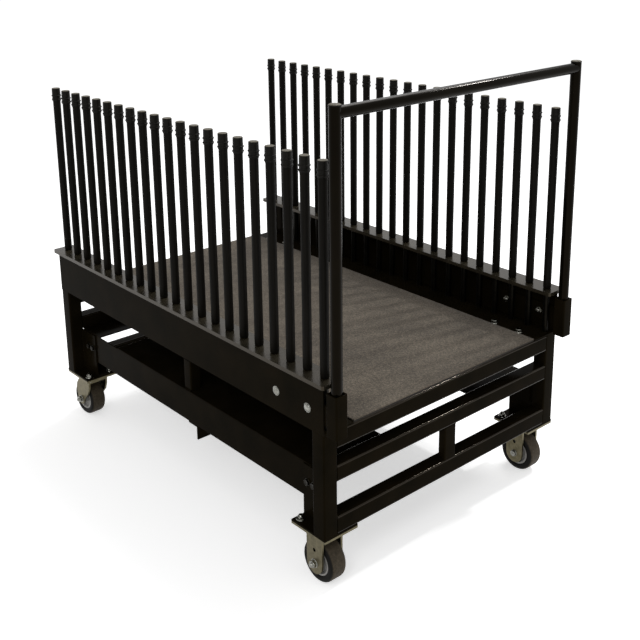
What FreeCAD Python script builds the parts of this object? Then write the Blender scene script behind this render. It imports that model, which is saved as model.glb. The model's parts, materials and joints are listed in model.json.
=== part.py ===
import FreeCAD, Part
import math
import os
import Sketcher
from FreeCAD import Vector

# Glazing trolley: a welded tube frame on two fixed and two swivel casters, a carpeted deck, a harp rail
# with a row of sleeved rods along each side, and a lift-out push handle in two sockets at the front.
# X runs across the trolley, Y from the handle end to the rear end and Z up from the floor, in millimetres.

DOC = FreeCAD.newDocument("glazing_trolley")
SHEET = DOC.addObject("Spreadsheet::Sheet", "Sizes")

# Each size is set once: name, value, what it is.
SIZES = [
    # Frame
    ("frame_width", 1032, "over the outer faces of the corner posts"),
    ("frame_length", 1488, "over the front and rear faces of the posts"),
    ("post_side", 50, "square corner post"),
    ("tube_wall", 3, "wall of the frame tubes"),
    ("tube_corner", 5, "outer corner radius of the frame tubes"),
    ("bottom_bar_height", 55, "bottom cross bar on the casters"),
    ("middle_bar_height", 50, "middle cross bar"),
    ("bar_depth", 50, "all cross bars, front to back"),
    ("top_bar_height", 55, "top cross bar under the deck end"),
    ("lower_window", 110, "open height between bottom and middle bar"),
    ("upper_slit", 53, "open height between middle and top bar"),
    ("strut_side", 50, "upright in the middle of each end frame, width"),
    ("strut_depth", 28, "upright in the middle of each end frame, front to back"),
    ("bearer_width", 60, "long tube under the deck edge, width"),
    ("bearer_height", 50, "long tube under the deck edge, height"),
    ("bearer_inset", 116, "bearer centre line in from the post face"),
    ("upright_side", 40, "tube between side beam and bearer"),
    ("upright_inset", 76, "upright centre line in from the post face"),
    ("cross_height", 50, "centre angle under the beams, upright leg"),
    ("cross_width", 52, "centre angle under the beams, flat leg"),
    ("cross_thickness", 6, "centre angle under the beams, sheet"),
    ("cross_ahead", 56, "upright leg of the centre angle ahead of the middle"),
    # Side beams and their corner plates
    ("beam_height", 106, "side beam, height"),
    ("beam_thickness", 5, "side beam, plate"),
    ("beam_lift", 3, "beam above the top of the bottom bar"),
    ("beam_end_gap", 5, "beam end to the back of the end frame"),
    ("gusset_thickness", 5, "corner plate, sheet"),
    ("gusset_reach", 93, "corner plate behind the post"),
    ("gusset_bolt_edge", 18, "bolt to the free edge of the corner plate"),
    ("gusset_bolt_step", 28, "between the two bolts of a corner plate"),
    ("shelf_width", 271, "side shelf on the beam, in from the post"),
    ("shelf_thickness", 4, "side shelf, sheet"),
    ("shelf_rear_end", 300, "long side shelf's end ahead of the rear face"),
    ("rear_shelf_depth", 123, "short side shelf ahead of the rear bar"),
    # Deck
    ("board_thickness", 6, "deck board"),
    ("carpet_thickness", 3, "carpet on the deck board"),
    ("deck_gap", 1, "deck edge to rail foot"),
    ("deck_setback", 3, "deck end behind the end face of the frame"),
    # Harp rails and rods
    ("rail_height", 145, "rail angle, upright web"),
    ("rail_foot_width", 113, "rail angle, wide foot"),
    ("rail_thickness", 4, "rail angle, sheet"),
    ("rail_top_width", 78, "flat bar on the rail"),
    ("rail_top_thickness", 12, "flat bar on the rail"),
    ("rail_top_corner", 8, "corner radius of the flat bar"),
    ("rail_top_side", 14, "flat bar out over the rail web"),
    ("rail_top_end", 14, "flat bar out over each end of the frame"),
    ("rod_count", 21, "rods in one rail"),
    ("rod_end", 24, "first and last rod in from the frame's ends"),
    ("rod_diameter", 20, "steel tube of a rod"),
    ("rod_wall", 2.5, "steel tube of a rod, wall"),
    ("rod_inset", 28, "rod row in from the outer face of the rail"),
    ("rod_rise", 599, "rod above the rail top"),
    ("rod_fit", 0.2, "hole and sleeve around the rod, radial"),
    ("sleeve_diameter", 25.5, "soft sleeve on the rod"),
    ("sleeve_lift", 3, "sleeve above the rail top"),
    ("seat_gap", 0.3, "between parts that sit on each other"),
    ("cap_diameter", 27, "end cap of a rod"),
    ("cap_height", 46, "end cap of a rod"),
    ("cap_roof", 6, "closed top of the end cap"),
    ("cap_edge", 1.5, "bevel of the end cap's top edge"),
    ("bead_reach", 1.8, "ring bead out from the cap"),
    ("bead_height", 4.5, "ring bead along the cap"),
    ("bead_low", 4, "lower bead above the cap's foot"),
    ("bead_step", 13, "between the two beads"),
    # Rail fasteners
    ("rail_bolt_inset", 100, "rail bolt row in from the outer face"),
    ("rail_bolt_end", 77, "first rail bolt from the frame end"),
    ("rail_bolt_step", 103, "first to second rail bolt"),
    ("washer_diameter", 28, "broad washer face of a rail bolt"),
    ("washer_thickness", 2.5, "broad washer face of a rail bolt"),
    # Handle and its sockets
    ("handle_diameter", 33, "handle tube"),
    ("handle_wall", 2.5, "handle tube, wall"),
    ("handle_fit", 0.4, "handle post to socket wall"),
    ("handle_rise", 912, "top of the handle tube above the frame"),
    ("handle_inset", 18, "handle post centre in from the post face"),
    ("crossbar_drop", 19, "crossbar centre below the tube top"),
    ("handle_cap_rise", 5, "domed cap above the tube"),
    ("handle_plug", 14, "plug of the domed cap in the tube"),
    ("socket_side", 42, "square socket tube"),
    ("socket_height", 127, "socket tube"),
    ("socket_floor", 5, "closed bottom of the socket"),
    ("socket_lift", 8, "socket above the foot of the rail"),
    ("socket_stand_off", 14, "socket ahead of the frame's front face"),
    ("strap_thickness", 6, "strap from socket into the rail"),
    ("strap_height", 60, "strap from socket into the rail"),
    ("strap_bolt_edge", 26, "second socket bolt to the strap's end"),
    ("strap_bolt_rise", 62, "socket bolts above the rail foot"),
    ("dome_diameter", 28, "round head of a socket bolt"),
    ("dome_height", 6, "round head of a socket bolt"),
    # Bolts and nuts
    ("m12_diameter", 12, "frame and axle bolts"),
    ("m12_flats", 18, "frame bolt head and nut across flats"),
    ("m12_head", 7.5, "frame bolt head"),
    ("m12_nut", 10, "frame nut"),
    ("m10_diameter", 10, "rail and caster bolts"),
    ("m10_flats", 17, "rail and caster bolt head and nut"),
    ("m10_head", 7, "rail and caster bolt head"),
    ("m10_nut", 8, "caster nut"),
    ("bolt_clear", 0.4, "bolt to its hole, radial"),
    ("thread_clear", 0.1, "nut to its thread, radial"),
    ("bolt_stick", 3, "thread past the nut"),
    # Casters
    ("caster_height", 179, "floor to the top of the caster plate"),
    ("crown_clear", 16, "tyre to the underside of the fork crown"),
    ("tyre_depth", 21, "tyre on the hub rim"),
    ("tyre_width", 58, "tyre"),
    ("tyre_round", 11, "shoulder radius of the tyre"),
    ("tyre_fit", 0.05, "tyre to hub rim, radial"),
    ("rim_width", 52, "hub rim"),
    ("rim_wall", 7, "hub rim"),
    ("web_width", 24, "hub disc"),
    ("boss_diameter", 34, "hub boss"),
    ("boss_gap", 0.5, "hub boss to caster leg"),
    ("axle_running", 0.05, "axle and kingpin running fit, radial"),
    ("axle_flats", 19, "axle head and nut across flats"),
    ("plate_width", 126, "caster top plate across the trolley"),
    ("plate_length", 146, "caster top plate along the trolley"),
    ("plate_thickness", 7, "caster top plate"),
    ("pad_thickness", 6, "frame pad on the caster plate"),
    ("plate_bolts_across", 86, "caster bolt pattern, across"),
    ("plate_bolts_along", 108, "caster bolt pattern, along"),
    ("leg_gap", 66, "between the two legs of a caster"),
    ("leg_thickness", 7, "caster leg"),
    ("leg_top_width", 68, "fixed caster leg under the plate"),
    ("leg_foot_width", 66, "caster leg at the axle"),
    ("fork_foot_width", 42, "swivel fork leg at the axle"),
    ("spare_hole_rise", 44, "spare axle hole above the axle"),
    ("fork_trail", 30, "swivel axle behind the kingpin"),
    ("crown_length", 70, "fork crown, front to back"),
    ("crown_thickness", 6, "fork crown"),
    ("cup_height", 5, "lower ball cup on the crown"),
    ("race_height", 7, "upper ball race under the plate"),
    ("race_diameter", 72, "ball race and cup"),
    ("ball_diameter", 7.4, "race ball"),
    ("ball_ring", 56, "ring of balls, diameter"),
    ("ball_count", 12, "balls in one race"),
    ("ball_clear", 0.3, "ball to race and cup"),
    ("kingpin_diameter", 14, "kingpin"),
    ("kingpin_flats", 22, "kingpin nut across flats"),
    ("kingpin_nut", 7, "kingpin nut"),
    ("left_turn", 2, "left swivel fork turned from straight back, degrees"),
    ("right_turn", 7, "right swivel fork turned from straight back, degrees"),
    # Shared by all cuts
    ("overrun", 10, "how far a cutting tool passes its face"),
]

for row, (alias, value, note) in enumerate(SIZES, start=1):
    SHEET.set(f"A{row}", alias)
    SHEET.set(f"B{row}", str(value))
    SHEET.setAlias(f"B{row}", alias)
    SHEET.set(f"C{row}", note)
DOC.recompute()

HEX_SHARE = 0.5773503  # corner radius of a hexagon to its width across flats


class Size:
    """A size that keeps its formula beside its value, so that sums of sizes stay bound to the sheet."""

    def __init__(self, text, value):
        self.text, self.value = text, float(value)

    @staticmethod
    def of(item):
        return item if isinstance(item, Size) else Size(str(item), item)

    def __add__(self, other):
        other = Size.of(other)
        return Size(f"({self.text} + {other.text})", self.value + other.value)

    def __sub__(self, other):
        other = Size.of(other)
        return Size(f"({self.text} - {other.text})", self.value - other.value)

    def __mul__(self, other):
        other = Size.of(other)
        return Size(f"({self.text} * {other.text})", self.value * other.value)

    def __truediv__(self, other):
        other = Size.of(other)
        return Size(f"({self.text} / {other.text})", self.value / other.value)

    __radd__ = __add__
    __rmul__ = __mul__

    def __neg__(self):
        return self * -1


S = {alias: Size(f"Sizes.{alias}", value) for alias, value, note in SIZES}
ZERO = Size("0", 0)


def spot(x=ZERO, y=ZERO, z=ZERO, axis=(0, 0, 1), turn=0):
    """The placement formula of a point and a turn about an axis, in degrees."""
    x, y, z, turn = (Size.of(v).text for v in (x, y, z, turn))
    return (f"placement(vector({x}; {y}; {z}); "
            f"rotation(vector({axis[0]}; {axis[1]}; {axis[2]}); {turn}))")


TO_RIGHT = ((0, 1, 0), 90)
TO_LEFT = ((0, 1, 0), -90)
ALONG_X = ((1, 1, 1), 120)     # outline x to Y, outline y to Z, drawn out to +X
ALONG_Y = ((1, 0, 0), 90)      # outline x to X, outline y to Z, drawn out to -Y
TURNED_UP = ((1, 0, 0), 90)    # turning axis to Z
TURNED_X = ((0, 0, 1), -90)    # turning axis to X
OUTWARD = {-1: TO_LEFT, 1: TO_RIGHT}

NODES = {}


def node(obj, label):
    obj.Label = label
    NODES[label] = obj
    return obj


def add(kind, label, where=None, **sizes):
    obj = DOC.addObject(kind, label)
    for prop, size in sizes.items():
        obj.setExpression(prop, Size.of(size).text)
    if where:
        obj.setExpression("Placement", where)
    return obj


def block(label, span, low, where=None):
    """A box with its low corner given, in the placement of the piece that it belongs to."""
    return add("Part::Box", label, where or spot(*low), Length=span[0], Width=span[1], Height=span[2])


def pin(label, radius, length, where):
    return add("Part::Cylinder", label, where, Radius=radius, Height=length)


def hexagon(label, flats, height, where):
    obj = add("Part::Prism", label, where, Circumradius=flats * HEX_SHARE, Height=height)
    obj.Polygon = 6
    return obj


def fuse(label, shapes, where=None):
    obj = add("Part::MultiFuse", label, where)
    obj.Shapes = shapes
    obj.Refine = True
    return obj


def cut(label, base, tools, where=None):
    obj = add("Part::Cut", label, where)
    obj.Base = base
    obj.Tool = tools[0] if len(tools) == 1 else group(label + "_tools", tools)
    return obj


def group(label, shapes, where=None):
    obj = add("Part::Compound", label, where)
    obj.Links = shapes
    return obj


def copies(label, master, places):
    """A group of separate copies of one piece."""
    links = []
    for index, where in enumerate(places):
        link = add("App::Link", f"{label}_{index}", where)
        link.LinkedObject = master
        links.append(link)
    return group(label, links)


def new_body(label):
    body = DOC.addObject("PartDesign::Body", label)
    body.AllowCompound = True
    return body


def origin_of(body, role):
    """The body's own axis or plane with the given role."""
    return next(item for item in body.Origin.OriginFeatures if item.Role == role)


def new_sketch(body):
    sketch = body.newObject("Sketcher::SketchObject", body.Name + "_outline")
    sketch.AttachmentSupport = [(origin_of(body, "XY_Plane"), "")]
    sketch.MapMode = "FlatFace"
    return sketch


def bind(sketch, name, constraint, size):
    index = sketch.addConstraint(constraint)
    sketch.renameConstraint(index, name)
    sketch.setExpression(f"Constraints.{name}", size.text)


def polygon(sketch, points):
    """A closed outline, each corner held by its own two sizes."""
    points = [(Size.of(x), Size.of(y)) for x, y in points]
    spots = [Vector(x.value, y.value, 0) for x, y in points]
    count = len(spots)
    for i in range(count):
        sketch.addGeometry(Part.LineSegment(spots[i], spots[(i + 1) % count]), False)
    for i in range(count):
        sketch.addConstraint(Sketcher.Constraint("Coincident", i, 2, (i + 1) % count, 1))
    for i, (x, y) in enumerate(points):
        bind(sketch, f"x{i}", Sketcher.Constraint("DistanceX", -1, 1, i, 1, x.value), x)
        bind(sketch, f"y{i}", Sketcher.Constraint("DistanceY", -1, 1, i, 1, y.value), y)


def rounded(sketch, name, width, height, radius):
    """A rectangle with round corners, centred on the sketch origin."""
    first = sketch.GeometryCount
    w, h, r = width.value / 2, height.value / 2, radius.value
    corners = [(w - r, r - h, -90), (w - r, h - r, 0), (r - w, h - r, 90), (r - w, r - h, 180)]
    sides = [((r - w, -h), (w - r, -h)), ((w, r - h), (w, h - r)),
             ((w - r, h), (r - w, h)), ((-w, h - r), (-w, r - h))]
    for (start, end), (cx, cy, angle) in zip(sides, corners):
        sketch.addGeometry(Part.LineSegment(Vector(*start, 0), Vector(*end, 0)), False)
        arc = Part.Circle(Vector(cx, cy, 0), Vector(0, 0, 1), r)
        low = FreeCAD.Units.Quantity(f"{angle} deg").getValueAs("rad").Value
        high = FreeCAD.Units.Quantity(f"{angle + 90} deg").getValueAs("rad").Value
        sketch.addGeometry(Part.ArcOfCircle(arc, low, high), False)
    for i in range(8):
        sketch.addConstraint(Sketcher.Constraint("Tangent", first + i, 2, first + (i + 1) % 8, 1))
    for i, kind in ((0, "Horizontal"), (2, "Vertical"), (4, "Horizontal"), (6, "Vertical")):
        sketch.addConstraint(Sketcher.Constraint(kind, first + i))
    for i in (3, 5):
        sketch.addConstraint(Sketcher.Constraint("Equal", first + 1, first + i))
    sketch.addConstraint(Sketcher.Constraint("Symmetric", first + 7, 3, first + 3, 3, -1, 1))
    bind(sketch, name + "_width", Sketcher.Constraint("DistanceX", first + 6, 1, first + 2, 1, 2 * w), width)
    bind(sketch, name + "_height", Sketcher.Constraint("DistanceY", first + 0, 1, first + 4, 1, 2 * h), height)
    bind(sketch, name + "_radius", Sketcher.Constraint("Radius", first + 1, r), radius)


def circle(sketch, x, y, radius):
    x, y = Size.of(x), Size.of(y)
    index = sketch.addGeometry(Part.Circle(Vector(x.value, y.value, 0), Vector(0, 0, 1), radius.value), False)
    bind(sketch, "radius", Sketcher.Constraint("Radius", index, radius.value), radius)
    bind(sketch, "x", Sketcher.Constraint("DistanceX", -1, 1, index, 3, x.value), x)
    bind(sketch, "y", Sketcher.Constraint("DistanceY", -1, 1, index, 3, y.value), y)


def pad(body, sketch, length):
    DOC.recompute()
    feature = body.newObject("PartDesign::Pad", body.Name + "_pad")
    feature.Profile = sketch
    feature.setExpression("Length", Size.of(length).text)
    sketch.Visibility = False
    body.Tip = feature
    return feature


def drawn(label, points, length, where):
    """A closed outline drawn out straight."""
    body = new_body(label)
    sketch = new_sketch(body)
    polygon(sketch, points)
    pad(body, sketch, length)
    body.setExpression("Placement", where)
    return body


def tube(label, width, height, wall, corner, length, where):
    """A straight rectangular tube, open at both ends."""
    body = new_body(label)
    sketch = new_sketch(body)
    rounded(sketch, "outer", width, height, corner)
    rounded(sketch, "inner", width - wall * 2, height - wall * 2, corner - wall)
    pad(body, sketch, length)
    body.setExpression("Placement", where)
    return body


def turned(label, points, where):
    """A closed outline of radius and height, turned about the height axis."""
    body = new_body(label)
    sketch = new_sketch(body)
    polygon(sketch, points)
    DOC.recompute()
    feature = body.newObject("PartDesign::Revolution", label + "_turn")
    feature.Profile = sketch
    feature.ReferenceAxis = (sketch, ["V_Axis"])
    feature.Angle = 360
    sketch.Visibility = False
    body.Tip = feature
    body.setExpression("Placement", where)
    return body


def repeat(body, axis, backwards=False):
    """The body's last feature repeated at the rod pitch along one of its axes."""
    DOC.recompute()
    original = body.Tip
    feature = body.newObject("PartDesign::LinearPattern", body.Name + "_row")
    feature.Originals = [original]
    feature.Direction = (origin_of(body, axis), [""])
    feature.Reversed = backwards
    feature.setExpression("Length", rod_span.text)
    feature.setExpression("Occurrences", S["rod_count"].text)
    body.Tip = feature
    return body


def pin_row(label, radius, length, x, y, z):
    """A row of upright round pins at the rod pitch."""
    body = new_body(label)
    sketch = new_sketch(body)
    circle(sketch, ZERO, ZERO, radius)
    pad(body, sketch, length)
    repeat(body, "Y_Axis")
    body.setExpression("Placement", spot(x, y, z))
    return body


def tube_row(label, radius, bore, length, x, y, z):
    """A row of upright round tubes at the rod pitch."""
    return cut(label, pin_row(f"{label}_skins", radius, length, x, y, z),
               [pin_row(f"{label}_bores", bore, length + S["overrun"] * 2, x, y, z - S["overrun"])])


# Levels and lines that several pieces share
half = S["frame_width"] / 2
front_overhang = S["socket_stand_off"] + S["socket_side"]
plate_low = S["caster_height"] - S["plate_thickness"]
race_low = plate_low - S["race_height"]
cup_top = race_low - S["ball_diameter"] - S["ball_clear"] * 2
crown_top = cup_top - S["cup_height"]
crown_low = crown_top - S["crown_thickness"]
wheel_diameter = crown_low - S["crown_clear"]
most_turn = max(S["left_turn"], S["right_turn"], key=lambda size: size.value)
turn_cos = Size(f"cos({most_turn.text} * 1 deg)", math.cos(math.radians(most_turn.value)))
turn_sin = Size(f"sin({most_turn.text} * 1 deg)", math.sin(math.radians(most_turn.value)))
rear_overhang = ((S["fork_trail"] + wheel_diameter / 2 - S["tyre_round"]) * turn_cos
                 + (S["tyre_width"] / 2 - S["tyre_round"]) * turn_sin + S["tyre_round"]
                 - S["plate_length"] / 2)
front = (front_overhang - rear_overhang) / 2 - S["frame_length"] / 2
rear = front + S["frame_length"]
middle = front + S["frame_length"] / 2
rod_span = S["frame_length"] - S["rod_end"] * 2
rod_pitch = rod_span / (S["rod_count"] - 1)
ENDS = {"front": (front, 1), "rear": (rear, -1)}
SIDES = {"left": -1, "right": 1}

axle_z = wheel_diameter / 2
frame_foot = S["caster_height"] + S["pad_thickness"]
bottom_top = frame_foot + S["bottom_bar_height"]
middle_low = bottom_top + S["lower_window"]
middle_top = middle_low + S["middle_bar_height"]
top_low = middle_top + S["upper_slit"]
frame_top = top_low + S["top_bar_height"]
beam_low = bottom_top + S["beam_lift"]
beam_top = beam_low + S["beam_height"]
web_top = frame_top + S["rail_height"]
rail_top = web_top + S["rail_top_thickness"]
post_inner = half - S["post_side"]
caster_x = half - S["plate_width"] / 2

m12_radius, m10_radius = S["m12_diameter"] / 2, S["m10_diameter"] / 2
m12_hole, m10_hole = m12_radius + S["bolt_clear"], m10_radius + S["bolt_clear"]

# Corner posts
for end, (face, inward) in ENDS.items():
    for side, sign in SIDES.items():
        node(tube(f"{end}_{side}_post", S["post_side"], S["post_side"], S["tube_wall"], S["tube_corner"],
                  frame_top - frame_foot,
                  spot((half - S["post_side"] / 2) * sign, face + S["post_side"] / 2 * inward, frame_foot)),
             f"{end}_{side}_post")


def caster_spots(end, along=(-1, 1), across=(-1, 1), sides=(-1, 1)):
    """Bolt places of an end's casters; along is -1 at the frame end and 1 toward the middle."""
    face, inward = ENDS[end]
    for sign in sides:
        for a in along:
            for b in across:
                yield (caster_x * sign + S["plate_bolts_across"] / 2 * b,
                       face + (S["plate_length"] / 2 + S["plate_bolts_along"] / 2 * a) * inward)


# Cross bars and struts of the two end frames
bar_length = post_inner * 2
for end, (face, inward) in ENDS.items():
    bar_y = face + S["bar_depth"] / 2 * inward
    for level, low in (("top", top_low), ("middle", middle_low), ("bottom", frame_foot)):
        height = S[f"{level}_bar_height"]
        bar = tube(f"{end}_{level}_tube", S["bar_depth"], height, S["tube_wall"], S["tube_corner"], bar_length,
                   spot(-post_inner, bar_y, low + height / 2, *ALONG_X))
        if level == "bottom":
            holes = [pin(f"{end}_bar_hole_{sign}", m10_hole, S["tube_wall"] + S["overrun"] * 2,
                         spot(x, y, frame_foot - S["overrun"]))
                     for sign in (-1, 1)
                     for x, y in caster_spots(end, along=(-1,), across=(-sign,), sides=(sign,))]
            bar = cut(f"{end}_bottom_holed", bar, holes)
        node(bar, f"{end}_{level}_bar")
struts = [tube(f"{end}_strut", S["strut_side"], S["strut_depth"], S["tube_wall"], S["tube_corner"],
               middle_low - bottom_top, spot(ZERO, face + S["strut_depth"] / 2 * inward, bottom_top))
          for end, (face, inward) in ENDS.items()]
node(group("struts", struts), "struts")

# Side beams with their corner plates, bolts and shelves
beam_length = S["frame_length"] - (S["bar_depth"] + S["beam_end_gap"]) * 2
bolt_z = beam_low + S["beam_height"] / 2
gusset_edge = S["post_side"] + S["gusset_reach"]
bolt_places = [(sign, face + (gusset_edge - S["gusset_bolt_edge"] - S["gusset_bolt_step"] * k) * inward)
               for sign in (-1, 1) for face, inward in ENDS.values() for k in (0, 1)]
beam_hole = pin("beam_hole", m12_hole, S["gusset_thickness"] + S["beam_thickness"] + S["overrun"] * 2, spot())
for side, sign in SIDES.items():
    low_x = post_inner - S["beam_thickness"] if sign > 0 else -post_inner
    plate = block(f"{side}_beam_plate", (S["beam_thickness"], beam_length, S["beam_height"]),
                  (low_x, front + S["bar_depth"] + S["beam_end_gap"], beam_low))
    holes = copies(f"{side}_beam_holes", beam_hole,
                   [spot((post_inner - S["beam_thickness"] - S["overrun"]) * sign, y, bolt_z, *OUTWARD[sign])
                    for at, y in bolt_places if at == sign])
    node(cut(f"{side}_beam", plate, [holes]), f"{side}_side_beam")

gussets = []
for end, (face, inward) in ENDS.items():
    for side, sign in SIDES.items():
        low_x = post_inner if sign > 0 else -post_inner - S["gusset_thickness"]
        low_y = face + S["post_side"] if inward > 0 else face - gusset_edge
        plate = block(f"{end}_{side}_gusset", (S["gusset_thickness"], S["gusset_reach"], beam_top - frame_foot),
                      (low_x, low_y, frame_foot))
        holes = copies(f"{end}_{side}_gusset_holes", beam_hole,
                       [spot((post_inner - S["overrun"]) * sign, y, bolt_z, *OUTWARD[sign])
                        for at, y in bolt_places if at == sign])
        gussets.append(cut(f"{end}_{side}_corner_plate", plate, [holes]))
node(group("corner_plates", gussets), "corner_plates")

beam_bolt = fuse("beam_bolt", [
    hexagon("beam_bolt_head", S["m12_flats"], S["m12_head"], spot()),
    pin("beam_bolt_shank", m12_radius,
        S["gusset_thickness"] + S["beam_thickness"] + S["m12_nut"] + S["bolt_stick"],
        spot(z=-S["gusset_thickness"] - S["beam_thickness"] - S["m12_nut"] - S["bolt_stick"]))])
node(copies("beam_bolts", beam_bolt,
            [spot((post_inner + S["gusset_thickness"]) * sign, y, bolt_z, *OUTWARD[sign])
             for sign, y in bolt_places]), "beam_bolts")

shelf_top = beam_top + S["shelf_thickness"]
shelves = []
for side, sign in SIDES.items():
    low_x = post_inner - S["shelf_width"] if sign > 0 else -post_inner
    long_shelf = S["frame_length"] - S["bar_depth"] - S["shelf_rear_end"]
    shelves += [block(f"{side}_long_shelf", (S["shelf_width"], long_shelf, S["shelf_thickness"]),
                      (low_x, front + S["bar_depth"], beam_top)),
                block(f"{side}_short_shelf", (S["shelf_width"], S["rear_shelf_depth"], S["shelf_thickness"]),
                      (low_x, rear - S["bar_depth"] - S["rear_shelf_depth"], beam_top))]
node(group("side_shelves", shelves), "side_shelves")

# Tubes that carry the deck edges and the middle of the rails
bearer_x = half - S["bearer_inset"]
rail_bolt_x = half - S["rail_bolt_inset"]
rail_bolt_ys = [face + (S["rail_bolt_end"] + S["rail_bolt_step"] * k) * inward
                for face, inward in ENDS.values() for k in (0, 1)]
rail_hole = pin("rail_hole", m10_hole, S["rail_thickness"] + S["tube_wall"] + S["overrun"] * 2, spot())
for side, sign in SIDES.items():
    long_tube = tube(f"{side}_bearer_tube", S["bearer_width"], S["bearer_height"], S["tube_wall"],
                     S["tube_corner"], S["frame_length"] - S["bar_depth"] * 2,
                     spot(bearer_x * sign, rear - S["bar_depth"], frame_top - S["bearer_height"] / 2, *ALONG_Y))
    holes = copies(f"{side}_bearer_holes", rail_hole,
                   [spot(rail_bolt_x * sign, y, frame_top - S["tube_wall"] - S["overrun"])
                    for y in rail_bolt_ys])
    node(cut(f"{side}_bearer", long_tube, [holes]), f"{side}_deck_bearer")

uprights = [tube(f"{side}_upright", S["upright_side"], S["upright_side"], S["tube_wall"], S["tube_corner"],
                 frame_top - S["bearer_height"] - shelf_top,
                 spot((half - S["upright_inset"]) * sign, middle, shelf_top))
            for side, sign in SIDES.items()]
node(group("uprights", uprights), "uprights")
h, t, y0 = S["cross_height"], S["cross_thickness"], middle - S["cross_ahead"]
y1, y2 = y0 + t, y0 + S["cross_width"]
node(drawn("centre_angle", [(y0, ZERO), (y0, h), (y2, h), (y2, h - t), (y1, h - t), (y1, ZERO)], bar_length,
           spot(-post_inner, ZERO, beam_low - h, *ALONG_X)), "centre_cross_member")

# Deck
deck_half = half - S["rail_foot_width"] - S["deck_gap"]
deck_span = (deck_half * 2, S["frame_length"] - S["deck_setback"] * 2)
node(block("deck_board", (*deck_span, S["board_thickness"]),
           (-deck_half, front + S["deck_setback"], frame_top)), "deck_board")
node(block("deck_carpet", (*deck_span, S["carpet_thickness"]),
           (-deck_half, front + S["deck_setback"], frame_top + S["board_thickness"])), "deck_carpet")

# Harp rails
rod_x = half - S["rod_inset"]
first_rod_y = front + S["rod_end"]
rod_radius = S["rod_diameter"] / 2
rod_hole = rod_radius + S["rod_fit"]
web_hole = pin("web_hole", m12_hole, S["rail_thickness"] + S["strap_thickness"] + S["overrun"] * 2, spot())
STRAP_BOLT_SHARES = (0.58, 2.47)  # socket bolts along the rod pitch, clear of the rods
web_bolt_ys = [first_rod_y + rod_pitch * share for share in STRAP_BOLT_SHARES]
web_bolt_z = frame_top + S["strap_bolt_rise"]
top_x = half + S["rail_top_side"] - S["rail_top_width"] / 2
for side, sign in SIDES.items():
    t, h = S["rail_thickness"], S["rail_height"]
    outer, inner, foot = half * sign, (half - t) * sign, (half - S["rail_foot_width"]) * sign
    outline = [(outer, ZERO), (outer, h), (inner, h), (inner, t), (foot, t), (foot, ZERO)]
    angle = drawn(f"{side}_rail_angle", outline, S["frame_length"], spot(ZERO, rear, frame_top, *ALONG_Y))
    foot_holes = copies(f"{side}_foot_holes", rail_hole,
                        [spot(rail_bolt_x * sign, y, frame_top - S["overrun"]) for y in rail_bolt_ys])
    web_holes = copies(f"{side}_web_holes", web_hole,
                       [spot((half - t - S["overrun"]) * sign, y, web_bolt_z, *OUTWARD[sign])
                        for y in web_bolt_ys])
    node(cut(f"{side}_rail_holed", angle, [foot_holes, web_holes]), f"{side}_rail")
    flat = new_body(f"{side}_flat_bar")
    outline = new_sketch(flat)
    rounded(outline, "bar", S["rail_top_width"], S["frame_length"] + S["rail_top_end"] * 2,
            S["rail_top_corner"])
    pad(flat, outline, S["rail_top_thickness"])
    flat.setExpression("Placement", spot(top_x * sign, middle, web_top))
    rod_holes = pin_row(f"{side}_rod_holes", rod_hole, S["rail_top_thickness"] + S["overrun"] * 2, rod_x * sign,
                        first_rod_y, web_top - S["overrun"])
    node(cut(f"{side}_flat_bar_holed", flat, [rod_holes]), f"{side}_rail_top")

rail_bolt = fuse("rail_bolt", [
    pin("rail_bolt_washer", S["washer_diameter"] / 2, S["washer_thickness"], spot()),
    hexagon("rail_bolt_head", S["m10_flats"], S["m10_head"], spot(z=S["washer_thickness"])),
    pin("rail_bolt_shank", m10_radius, S["rail_thickness"] + S["tube_wall"] + S["bolt_stick"] * 2,
        spot(z=-S["rail_thickness"] - S["tube_wall"] - S["bolt_stick"]))])
node(copies("rail_bolts", rail_bolt, [spot(rail_bolt_x * sign, y, frame_top + S["rail_thickness"])
                                      for sign in (-1, 1) for y in rail_bolt_ys]), "rail_bolts")

# Rods, sleeves and end caps
cap_foot = rail_top + S["rod_rise"] + S["seat_gap"] + S["cap_roof"] - S["cap_height"]
cap_radius, sleeve_radius = S["cap_diameter"] / 2, S["sleeve_diameter"] / 2
rod_foot, sleeve_foot = frame_top + S["rail_thickness"], rail_top + S["sleeve_lift"]
rods, sleeves, caps = [], [], []
for side, sign in SIDES.items():
    x = rod_x * sign
    rods.append(tube_row(f"{side}_rods", rod_radius, rod_radius - S["rod_wall"],
                         rail_top + S["rod_rise"] - rod_foot, x, first_rod_y, rod_foot))
    sleeves.append(tube_row(f"{side}_sleeves", sleeve_radius, rod_hole, cap_foot - S["seat_gap"] - sleeve_foot,
                            x, first_rod_y, sleeve_foot))
    outline = [(rod_hole, ZERO), (cap_radius, ZERO)]
    for k in (0, 1):
        low = S["bead_low"] + S["bead_step"] * k
        bead = cap_radius + S["bead_reach"]
        quarter = S["bead_height"] / 4
        outline += [(cap_radius, low), (bead, low + quarter), (bead, low + quarter * 3),
                    (cap_radius, low + quarter * 4)]
    outline += [(cap_radius, S["cap_height"] - S["cap_edge"]), (cap_radius - S["cap_edge"], S["cap_height"]),
                (ZERO, S["cap_height"]), (ZERO, S["cap_height"] - S["cap_roof"]),
                (rod_hole, S["cap_height"] - S["cap_roof"])]
    cap = turned(f"{side}_caps", outline, spot(x, first_rod_y, cap_foot, *TURNED_UP))
    caps.append(repeat(cap, "Z_Axis", backwards=True))
node(group("harp_rods", rods), "harp_rods")
node(group("rod_sleeves", sleeves), "rod_sleeves")
node(group("rod_caps", caps), "rod_caps")

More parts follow.
